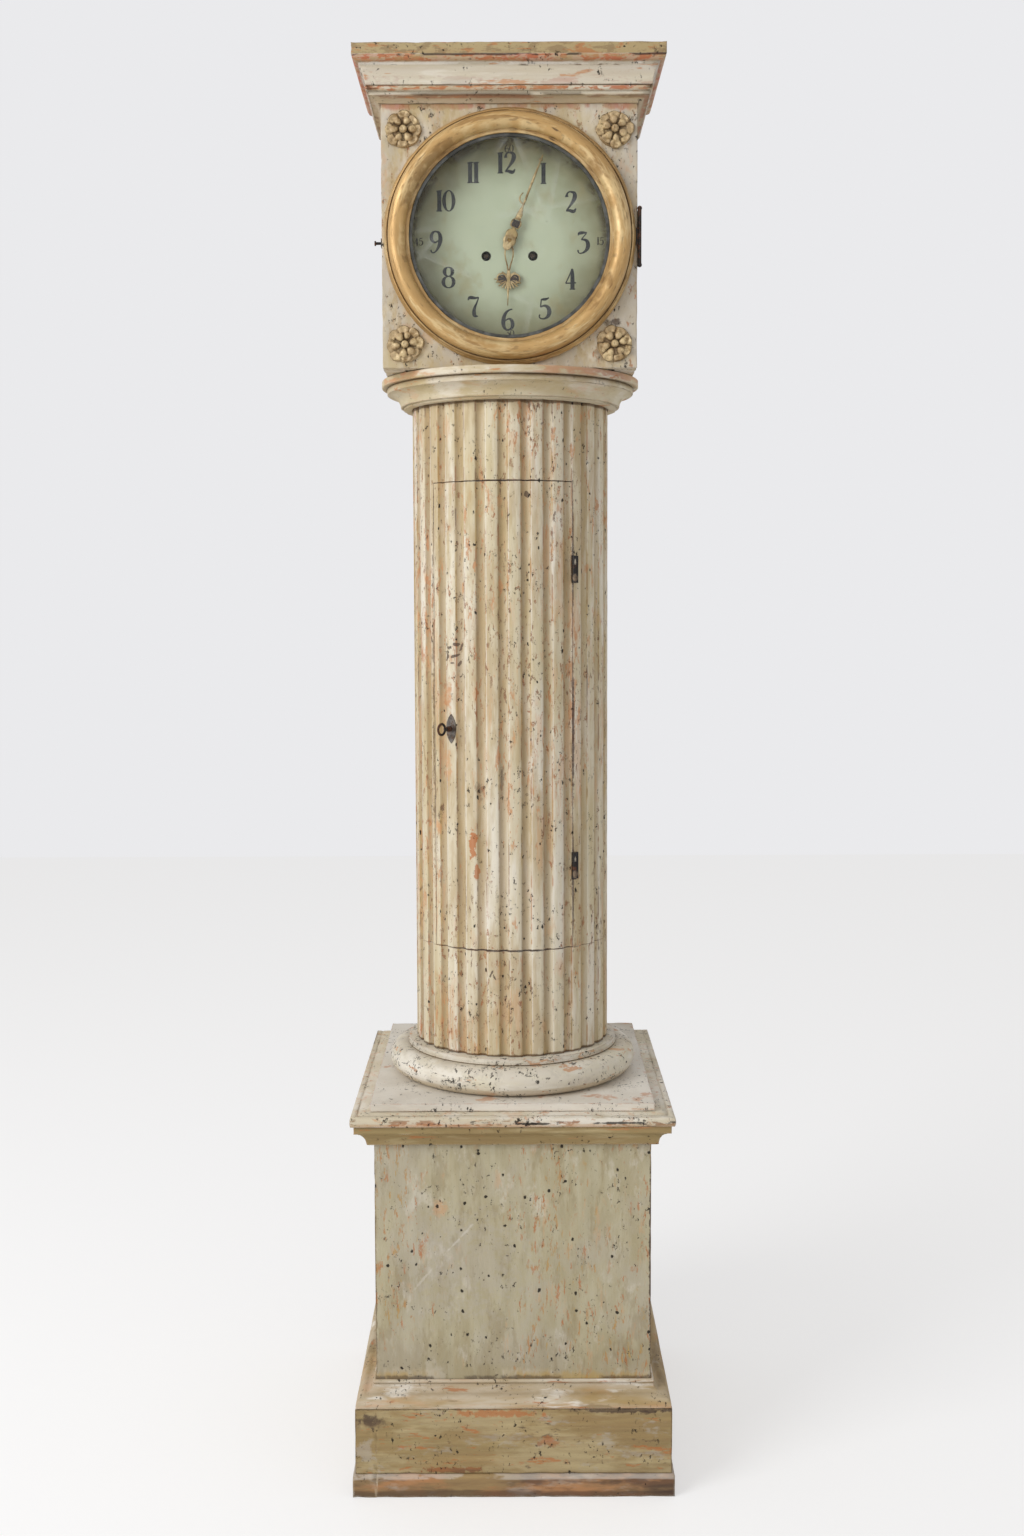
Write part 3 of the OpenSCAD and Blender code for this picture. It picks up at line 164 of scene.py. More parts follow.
# Pieces of painted wood and their finishes
PAINTED = {
    "plinth_strip": "foot",
    "plinth_band": "band",
    "plinth_moulding": "foot_moulding",
    "pedestal_front": "pedestal",
    "pedestal_sides": "pedestal",
    "cap_moulding": "cap",
    "rim_board": "rim",
    "raised_plate": "plate",
    "column_torus": "torus",
    "column_drum": "column",
    "column_shaft": "column",
    "trunk_door": "column",
    "capital": "capital",
    "hood_front": "hood",
    "hood_sides": "hood",
    "hood_cornice": "cornice",
}
RAW_WOOD = ("pedestal_back", "pedestal_floor", "backboard", "seat_frame", "hood_top", "top_board")
DARK_IRON = ("shaft_hinges", "door_hinges", "hood_irons", "latch_pin", "bezel_irons", "key")
BRASS = (
    "movement_plates",
    "plate_pillars",
    "centre_wheel",
    "hour_wheel",
    "minute_wheel",
    "third_wheel",
    "escape_wheel",
    "great_wheel",
    "strike_wheel",
    "going_barrel",
    "strike_barrel",
)
STEEL = ("anchor", "pendulum_cock", "bell_stand", "hammer", "pendulum_rod", "lock_case", "lock_bolt")


def linear(text):
    """A colour written as six hexadecimal digits, in the values that shaders take."""
    parts = [int(text[i : i + 2], 16) / 255 for i in (0, 2, 4)]
    return tuple(p / 12.92 if p < 0.04045 else ((p + 0.055) / 1.055) ** 2.4 for p in parts)


def colour(name, text, description):
    return FloatVectorProperty(
        name=name, description=description, default=linear(text), size=3, min=0, max=1, subtype="COLOR"
    )


def length(name, value, description):
    return FloatProperty(
        name=name, description=description, default=value, min=0, max=3, unit="LENGTH", precision=4
    )


class ClockColours(bpy.types.PropertyGroup):
    cream: colour("Cream", "dbd2b9", "Ground colour of the column")
    warm: colour("Warm cream", "c8b88f", "Yellowed paint of the column")
    bone: colour("Bone", "d9d0bf", "Ground colour of torus, plate and hood")
    sage: colour("Sage", "bfb79b", "Ground colour of the pedestal")
    sage_dull: colour("Dull sage", "aba183", "Darker clouds on the pedestal")
    khaki: colour("Khaki", "ab9768", "Ground colour of the plinth and the cornice face")
    khaki_dark: colour("Dark khaki", "846f4a", "Grain and dirt on the khaki paint")
    ochre: colour("Ochre", "b9974f", "Yellow grime at the foot of the pedestal")
    ash: colour("Ash", "b7afa3", "Grey bloom on old paint")
    # Chalk also paints the highlight along the right arris of each flute
    chalk: colour("Chalk", "ebe5d9", "Worn and rubbed paint")
    # Tan also carries painted shade: in the hollows that the ambient occlusion finds, and in the hollows and on the
    # left walls of the flutes
    tan: colour("Tan", "ab9062", "Varnish and dirt that settled in the hollows")
    # Light umber also paints the shade on the left walls of the flutes
    umber_light: colour("Light umber", "7b6247", "Worn wood of the lowest strip")
    # Umber also darkens the recesses as painted shade, together with their dirt
    umber: colour("Umber", "5a432b", "Dirt in the deepest corners")
    rust: colour("Red undercoat", "b46c3a", "Undercoat that shows where the paint is gone")
    salmon: colour("Salmon undercoat", "cf9a6b", "Undercoat under thin paint")
    red: colour("Red lead", "b4593a", "Red ground along the mouldings of the cornice")
    plum: colour("Plum", "46352f", "Dark stains and bruises")
    chip: colour("Chip", "1d1815", "Chips and worm holes")
    pine: colour("Old pine", "8f6a42", "Bare wood at the back and inside")
    gilt: colour("Gilt", "cfa96e", "Gilding of the bezel")
    gilt_worn: colour("Worn gilt", "94703f", "Bole and dirt under the gilding")
    rosette: colour("Rosette", "cdb48a", "Old gilt paint of the rosettes")
    dial_middle: colour("Dial middle", "b1bb9f", "Painted dial at its centre")
    dial_edge: colour("Dial edge", "74714c", "Painted dial towards its edge")
    ink: colour("Ink", "14181a", "Numerals on the dial")
    brass: colour("Brass", "b08d4c", "Movement plates and wheels")
    hand_gilt: colour("Hand gilt", "b7a06c", "Gilt of the two hands")
    iron: colour("Iron", "2c2724", "Hinges, latch and key")
    steel: colour("Steel", "6f7274", "Turned steel of the movement")


class ClockSizes(bpy.types.PropertyGroup):
    grid: length("Grid", 0.014, "Distance between the rows that divide a worn surface")
    fluted_grid: length("Column grid", 0.009, "Distance between the rows that divide the column")
    wobble: length("Wobble", 0.0005, "Unevenness of planed and turned surfaces")
    nick: length("Nick", 0.0016, "Depth of the dents along edges")
    numeral_height: length("Numeral height", 0.0295, "Height of an hour numeral")
    numeral_radius: length("Numeral radius", 0.1085, "Radius on which the hour numerals stand")
    minute_radius: length("Minute radius", 0.1322, "Radius on which the four minute numbers stand")
    petals: IntProperty(name="Petals", description="Outer petals of a rosette", default=8, min=5, max=12)
    minute_height: length("Minute number height", 0.0105, "Height of a minute number")
    rosette_radius: length("Rosette radius", 0.0282, "Radius of a rosette")
    rosette_rise: length("Rosette rise", 0.0125, "How far a rosette rises from the board")


def colours():
    return bpy.context.scene.clock_colours


def sizes():
    return bpy.context.scene.clock_sizes


# Node trees


def plug(tree, socket, value):
    """Links an output to a socket, or sets the socket's own value."""
    if isinstance(value, bpy.types.NodeSocket):
        tree.links.new(value, socket)
    elif socket.type == "RGBA" and len(value) == 3:
        socket.default_value = (*value, 1)
    else:
        socket.default_value = value


def fill(tree, node, values):
    """Sets or links several inputs of a node."""
    for key, value in values.items():
        plug(tree, node.inputs[key], value)


def add(tree, kind, values=None, **settings):
    """Adds a shader node, sets its settings, and sets or links its inputs."""
    node = tree.nodes.new(kind)
    for key, value in settings.items():
        setattr(node, key, value)
    fill(tree, node, values or {})
    return node


def maths(tree, operation, first, second=0.0, third=0.0):
    """One step of arithmetic on values."""
    return add(tree, "ShaderNodeMath", {0: first, 1: second, 2: third}, operation=operation).outputs[0]


def times(tree, first, second):
    return maths(tree, "MULTIPLY", first, second)


def plus(tree, first, second):
    return maths(tree, "ADD", first, second)


def minus(tree, first, second):
    return maths(tree, "SUBTRACT", first, second)


def weighed(tree, value, weight, rest):
    """A value times its weight, added to the rest."""
    return maths(tree, "MULTIPLY_ADD", value, weight, rest)


def vectors(tree, operation, *values):
    """One step of arithmetic on vectors; a length or a dot product comes out as a value."""
    node = add(tree, "ShaderNodeVectorMath", dict(enumerate(values)), operation=operation)
    return node.outputs["Value" if operation in ("LENGTH", "DOT_PRODUCT") else "Vector"]


def split(tree, vector):
    return add(tree, "ShaderNodeSeparateXYZ", {0: vector}).outputs


def ramped(tree, value, low, high, to_low=0.0, to_high=1.0):
    """A value mapped smoothly from low..high to to_low..to_high."""
    values = {"Value": value, "From Min": low, "From Max": high, "To Min": to_low, "To Max": to_high}
    return add(tree, "ShaderNodeMapRange", values, interpolation_type="SMOOTHSTEP").outputs[0]


def mixed(tree, share, under, over):
    """One colour laid over another."""
    node = add(tree, "ShaderNodeMix", data_type="RGBA")
    fill(tree, node, {0: share, 6: under, 7: over})
    return node.outputs[2]


def laid(tree, tone, shade, mask, share):
    """A shade laid over a tone where a mask shows it, at a share of its strength."""
    return mixed(tree, times(tree, mask, share), tone, shade)


def noisy(tree, vector, scale, detail=3.0, roughness=0.55, distortion=0.0):
    values = {"Vector": vector, "Scale": scale, "Detail": detail, "Roughness": roughness}
    return add(tree, "ShaderNodeTexNoise", values | {"Distortion": distortion}).outputs["Fac"]


GROUPS = {}
FLOAT = "NodeSocketFloat"
VECTOR = "NodeSocketVector"


def group(name, inputs, outputs):
    """Decorates a function that fills a node group once, with named inputs and outputs."""

    def wrap(draw):
        def made():
            if name not in GROUPS:
                tree = bpy.data.node_groups.new(name, "ShaderNodeTree")
                for key, value in inputs.items():
                    kind = VECTOR if isinstance(value, tuple) else FLOAT
                    tree.interface.new_socket(key, in_out="INPUT", socket_type=kind).default_value = value
                for key, kind in outputs.items():
                    tree.interface.new_socket(key, in_out="OUTPUT", socket_type=kind)
                ins = tree.nodes.new("NodeGroupInput").outputs
                outs = tree.nodes.new("NodeGroupOutput")
                fill(tree, outs, draw(tree, ins))
                GROUPS[name] = tree
            return GROUPS[name]

        return made

    return wrap


@group("Wood and brush grain", {"Vector": (0, 0, 0), "Stretch": EVEN, "Scale": 20.0}, {"Grain": FLOAT})
def grain_group(tree, ins):
    drawn = vectors(tree, "MULTIPLY", ins["Vector"], ins["Stretch"])
    return {"Grain": ramped(tree, noisy(tree, drawn, ins["Scale"], 4.0, 0.6, 0.3), 0.3, 0.7)}


@group(
    "Worn patches",
    {"Vector": (0, 0, 0), "Stretch": EVEN, "Scale": 10.0, "Amount": 0.3, "Softness": 0.05},
    {"Mask": FLOAT},
)
def patches_group(tree, ins):
    drawn = vectors(tree, "MULTIPLY", ins["Vector"], ins["Stretch"])
    coarse = noisy(tree, drawn, ins["Scale"], 2.0, 0.5, 0.4)
    fine = noisy(tree, drawn, times(tree, ins["Scale"], 5.3), 3.0, 0.6)
    both = weighed(tree, fine, 0.35, times(tree, coarse, 0.65))
    middle = weighed(tree, ins["Amount"], -0.3, 0.658)
    edge = weighed(tree, ins["Softness"], -0.5, middle)
    far = weighed(tree, ins["Softness"], 0.5, middle)
    return {"Mask": ramped(tree, both, edge, far)}


@group(
    "Worm holes and specks",
    {"Vector": (0, 0, 0), "Stretch": EVEN, "Scale": 30.0, "Size": 0.12, "Share": 0.5},
    {"Mask": FLOAT},
)
def holes_group(tree, ins):
    drawn = vectors(tree, "MULTIPLY", ins["Vector"], ins["Stretch"])
    values = {"Vector": drawn, "Scale": ins["Scale"], "Detail": 5.0, "Roughness": 0.72}
    wander = add(tree, "ShaderNodeTexNoise", values).outputs["Color"]
    push = vectors(tree, "MULTIPLY", wander, (0.009, 0.009, 0.009))
    values = {"Vector": vectors(tree, "ADD", drawn, push), "Scale": ins["Scale"], "Randomness": 1.0}
    cells = add(tree, "ShaderNodeTexVoronoi", values)
    draw = add(tree, "ShaderNodeSeparateColor", {0: cells.outputs["Color"]})
    kept = maths(tree, "LESS_THAN", draw.outputs["Red"], ins["Share"])
    size = times(tree, ins["Size"], ramped(tree, draw.outputs["Green"], 0, 1, 0.35, 1.0))
    inside = ramped(tree, cells.outputs["Distance"], times(tree, size, 0.7), size, 1.0, 0.0)
    return {"Mask": times(tree, inside, kept)}


@group(
    "Edge wear",
    {"Vector": (0, 0, 0), "Radius": 0.003, "Raggedness": 0.5},
    {"Worn": FLOAT, "Hollow": FLOAT, "Normal": VECTOR},
)
def edge_group(tree, ins):
    rounded = add(tree, "ShaderNodeBevel", {"Radius": ins["Radius"]}, samples=4).outputs[0]
    flat = add(tree, "ShaderNodeNewGeometry").outputs["Normal"]
    turned = ramped(tree, vectors(tree, "DOT_PRODUCT", rounded, flat), 0.80, 0.995, 1.0, 0.0)
    sky = add(tree, "ShaderNodeAmbientOcclusion", {"Distance": 0.012}, samples=4, only_local=True).outputs["AO"]
    convex = ramped(tree, sky, 0.72, 0.95)
    ragged = noisy(tree, ins["Vector"], 70.0, 3.0, 0.65)
    low = times(tree, ins["Raggedness"], 0.6)
    torn = ramped(tree, ragged, low, plus(tree, low, 0.16))
    worn = times(tree, times(tree, turned, convex), torn)
    return {"Worn": worn, "Hollow": ramped(tree, sky, 0.35, 0.9, 1.0, 0.0), "Normal": rounded}


# Darkening where the surface is shut in, found by ambient occlusion: painted shade in the recesses, together with the
# dirt that gathers there
@group("Recess shade and dirt", {"Distance": 0.03}, {"Dirt": FLOAT})
def dirt_group(tree, ins):
    values = {"Distance": ins["Distance"]}
    shut = add(tree, "ShaderNodeAmbientOcclusion", values, samples=4, only_local=True).outputs["AO"]
    return {"Dirt": ramped(tree, shut, 0.2, 0.95, 1.0, 0.0)}


@group(
    "Place on the column",
    {"Vector": (0, 0, 0), "Flutes": FLUTES, "Turn": FLUTE_TURN},
    {"Across": FLOAT, "Radius": FLOAT},
)
def column_group(tree, ins):
    near = vectors(tree, "SUBTRACT", ins["Vector"], (AXIS.x, AXIS.y, 0))
    parts = split(tree, near)
    back = times(tree, parts["Y"], -1.0)
    angle = maths(tree, "DEGREES", maths(tree, "ARCTAN2", parts["X"], back))
    turned = minus(tree, angle, ins["Turn"])
    pitch = maths(tree, "DIVIDE", 360.0, ins["Flutes"])
    share = plus(tree, maths(tree, "DIVIDE", turned, pitch), 100.5)
    plan = add(tree, "ShaderNodeCombineXYZ", {0: parts["X"], 1: parts["Y"]}).outputs[0]
    return {"Across": minus(tree, maths(tree, "FRACT", share), 0.5), "Radius": vectors(tree, "LENGTH", plan)}


@group("Round the dial", {"Vector": (0, 0, 0), "Pull": 0.033}, {"Vector": VECTOR})
def ring_group(tree, ins):
    near = vectors(tree, "SUBTRACT", ins["Vector"], (DIAL.x, 0, DIAL.z))
    plan = vectors(tree, "MULTIPLY", near, (1, 0, 1))
    values = {0: vectors(tree, "NORMALIZE", plan), "Scale": ins["Pull"]}
    drawn = add(tree, "ShaderNodeVectorMath", values, operation="SCALE").outputs[0]
    deep = plus(tree, vectors(tree, "LENGTH", plan), split(tree, near)["Y"])
    across = add(tree, "ShaderNodeCombineXYZ", {1: deep}).outputs[0]
    return {"Vector": vectors(tree, "ADD", drawn, across)}


@group(
    "Single mark",
    {
        "Vector": (0, 0, 0), "Centre": (0, 0, 0), "Size": (0.01, 0.1, 0.01), "Turn": (0, 0, 0),
        "Ragged": 1.5, "Softness": 0.4,
    },
    {"Mask": FLOAT},
)
def mark_group(tree, ins):
    values = {"Vector": ins["Vector"], "Location": ins["Centre"], "Rotation": ins["Turn"], "Scale": ins["Size"]}
    near = add(tree, "ShaderNodeMapping", values, vector_type="TEXTURE").outputs[0]
    rough = minus(tree, noisy(tree, ins["Vector"], 110.0, 4.0, 0.65), 0.5)
    torn = weighed(tree, rough, ins["Ragged"], vectors(tree, "LENGTH", near))
    return {"Mask": ramped(tree, torn, minus(tree, 1.0, ins["Softness"]), 1.0, 1.0, 0.0)}


@group(
    "Ragged zone",
    {"Vector": (0, 0, 0), "Stretch": EVEN, "Low": 0.0, "High": 1.0, "Ragged": 0.006},
    {"Mask": FLOAT},
)
def zone_group(tree, ins):
    drawn = vectors(tree, "MULTIPLY", ins["Vector"], ins["Stretch"])
    rough = minus(tree, noisy(tree, drawn, 60.0, 4.0, 0.7), 0.5)
    moved = weighed(tree, rough, ins["Ragged"], split(tree, ins["Vector"])["Z"])
    soft = weighed(tree, ins["Ragged"], 0.12, 0.0004)
    above, below = (
        ramped(tree, moved, minus(tree, ins[key], soft), plus(tree, ins[key], soft), start, 1.0 - start)
        for key, start in (("Low", 0.0), ("High", 1.0))
    )
    return {"Mask": times(tree, above, below)}


def placed(tree, made, values):
    """A shared group placed in a material with its own values."""
    node = tree.nodes.new("ShaderNodeGroup")
    node.node_tree = made()
    fill(tree, node, values)
    return node.outputs


def new_material(name):
    """An empty material with its shader, and the coordinates that its patterns read."""
    material = bpy.data.materials.new(name)
    material.use_nodes = True
    tree = material.node_tree
    tree.nodes.clear()
    shader = add(tree, "ShaderNodeBsdfPrincipled")
    add(tree, "ShaderNodeOutputMaterial", {"Surface": shader.outputs[0]})
    vector = add(tree, "ShaderNodeTexCoord").outputs["Object"]
    return material, tree, shader, vector


def bumped(tree, height, strength, distance, normal=None):
    values = {"Strength": strength, "Distance": distance, "Height": height}
    return add(tree, "ShaderNodeBump", values if normal is None else values | {"Normal": normal}).outputs[0]


def worn_edges(tree, vector, radius, ragged=0.5):
    return placed(tree, edge_group, {"Vector": vector, "Radius": radius, "Raggedness": ragged})


def dirt_mask(tree, reach):
    return placed(tree, dirt_group, {"Distance": reach})["Dirt"]


def speck_mask(tree, vector, scale, size, cells, stretch=(1, 1, 0.6)):
    values = {"Vector": vector, "Stretch": stretch, "Scale": scale, "Size": size, "Share": cells}
    return placed(tree, holes_group, values)["Mask"]


# Masks of the paint's layers: each takes the tree, the coordinates and the way its board's grain runs


def cloud_mask(tree, vector, along, scale, stretch=None):
    return placed(tree, grain_group, {"Vector": vector, "Stretch": stretch or along, "Scale": scale})["Grain"]


def patch_mask(tree, vector, along, scale, amount, soft, stretch=None):
    values = {"Vector": vector, "Stretch": stretch or along, "Scale": scale, "Amount": amount, "Softness": soft}
    return placed(tree, patches_group, values)["Mask"]


def mark_mask(tree, vector, along, centre, size, ragged, soft, turn=0, deep=0.12):
    values = {
        "Vector": vector,
        "Centre": centre,
        "Size": (size[0], deep, size[1]),
        "Turn": (0, math.radians(turn), 0),
        "Ragged": ragged,
        "Softness": soft,
    }
    return placed(tree, mark_group, values)["Mask"]


def zone_mask(tree, vector, along, low, high, ragged, stretch=None):
    values = {"Vector": vector, "Stretch": stretch or along, "Low": low, "High": high, "Ragged": ragged}
    return placed(tree, zone_group, values)["Mask"]


def hollow_mask(tree, vector, along, start=0.08, end=0.235, side=0.03):
    """The bottom of each flute, drawn towards its left wall: dirt in the hollow together with painted shade."""
    across = placed(tree, column_group, {"Vector": vector})["Across"]
    return ramped(tree, maths(tree, "ABSOLUTE", plus(tree, across, side)), start, end, 1.0, 0.0)


def arris_mask(tree, vector, along, middle=0.215, width=0.09, both=True):
    """The fillets between the flutes, or their right hand edge alone."""
    across = placed(tree, column_group, {"Vector": vector})["Across"]
    side = maths(tree, "ABSOLUTE", across) if both else across
    return ramped(tree, maths(tree, "ABSOLUTE", minus(tree, side, middle)), 0.0, width, 1.0, 0.0)


def wall_mask(tree, vector, along, end=0.12):
    """Painted shade on the left wall of each flute, as light from the left leaves it: sharp at its arris and fading
    towards the middle.
    """
    across = placed(tree, column_group, {"Vector": vector})["Across"]
    return times(tree, ramped(tree, across, -0.26, -0.22), ramped(tree, across, -0.2, end, 1.0, 0.0))


def inside_mask(tree, vector, along, radius):
    """All that lies nearer to the column's axis than a radius."""
    away = placed(tree, column_group, {"Vector": vector})["Radius"]
    return ramped(tree, away, radius - 0.001, radius + 0.003, 1.0, 0.0)


# Layers of paint. Each row gives its share of the colour, the shade or the two shades of its clouds, and what its
# mask takes. A positive relief stands proud, and within keeps a layer to patches of a scale and an amount.


def layer(mask, share, shade, relief=0.0, within=None, **values):
    return {"mask": mask, "share": share, "shade": shade, "relief": relief, "within": within, "values": values}


def cloud(share, shade, scale, stretch=None, **more):
    return layer(cloud_mask, share, shade, scale=scale, stretch=stretch, **more)


def patch(share, shade, scale, amount, soft, stretch=None, **more):
    return layer(patch_mask, share, shade, scale=scale, amount=amount, soft=soft, stretch=stretch, **more)


def mark(share, shade, centre, size, ragged, soft, **more):
    return layer(mark_mask, share, shade, centre=centre, size=size, ragged=ragged, soft=soft, **more)


def zone(share, shade, low, high, ragged, stretch=None, **more):
    return layer(zone_mask, share, shade, low=low, high=high, ragged=ragged, stretch=stretch, **more)


def down(stretch):
    """A pattern drawn out downwards."""
    return (1, 1, stretch)


def sideways(stretch):
    """A pattern drawn out sideways."""
    return (stretch, stretch, 1)


def tint(tree, shade, clouds):
    """A named colour, or two of them blended in clouds."""
    if isinstance(shade, str):
        return getattr(colours(), shade)
    first, second = (getattr(colours(), part) for part in shade)
    return mixed(tree, clouds, first, second)


def old_paint(name, look):
    """Old distemper on wood: layers of paint, undercoat, dirt, chips and worm holes over a ground, with painted shade
    in its hollows and recesses.
    """
    material, tree, shader, vector = new_material(name)
    along = look["along"]
    clouds = cloud_mask(tree, vector, along, 38.0)
    tone = tint(tree, look["ground"], clouds)
    relief = 0.0
    kept = (1, 1, 0.35) if along[2] < along[0] else (0.35, 0.35, 1)
    for row in look["layers"]:
        mask = row["mask"](tree, vector, along, **row["values"])
        if row["within"]:
            mask = times(tree, mask, patch_mask(tree, vector, along, *row["within"], 0.06, kept))
        tone = laid(tree, tone, tint(tree, row["shade"], clouds), mask, row["share"])
        if row["relief"]:
            relief = weighed(tree, mask, row["relief"], relief)
    wear = worn_edges(tree, vector, look.get("edge", 0.003), look.get("ragged", 0.5))
    # Tan in the hollows and umber in the recesses that the ambient occlusion finds: painted shade together with
    # settled dirt
    tone = laid(tree, tone, tint(tree, "tan", clouds), wear["Hollow"], 0.6)
    dirt = dirt_mask(tree, look.get("shade_and_dirt_reach", 0.03))
    tone = laid(tree, tone, tint(tree, "umber", clouds), dirt, look["dirt"])
    edge_tone = tint(tree, look.get("edge_shade", ("chalk", "rust")), cloud_mask(tree, vector, EVEN, 45.0))
    tone = laid(tree, tone, edge_tone, wear["Worn"], look["edge_wear"])
    specks = speck_mask(tree, vector, **look["specks"])
    pits = speck_mask(tree, vector, 170.0, 0.13, look["specks"]["cells"] * 0.9)
    scars = times(
        tree,
        patch_mask(tree, vector, along, 210.0, look["scars"], 0.03, (1, 1, 0.6)),
        patch_mask(tree, vector, along, 30.0, 0.42, 0.04, EVEN),
    )
    gone = maths(tree, "MAXIMUM", specks, scars)
    tone = laid(tree, tone, tint(tree, "umber", clouds), pits, 0.8)
    tone = laid(tree, tone, tint(tree, "chip", clouds), gone, 0.94)
    if "core" in look:
        row = look["core"]
        mask = row["mask"](tree, vector, along, **row["values"])
        tone = mixed(tree, mask, tone, tint(tree, row["shade"], clouds))
    fine = cloud_mask(tree, vector, along, 130.0)
    relief = weighed(tree, gone, -1.2, relief)
    relief = weighed(tree, pits, -0.6, relief)
    relief = weighed(tree, fine, 0.16, relief)
    fill(tree, shader, {
        "Base Color": tone,
        "Roughness": weighed(tree, gone, 0.2, ramped(tree, fine, 0, 1, 0.5, 0.72)),
        "Specular IOR Level": 0.3,
        "Normal": bumped(tree, relief, 0.6, 0.0012, wear["Normal"]),
    })
    return material


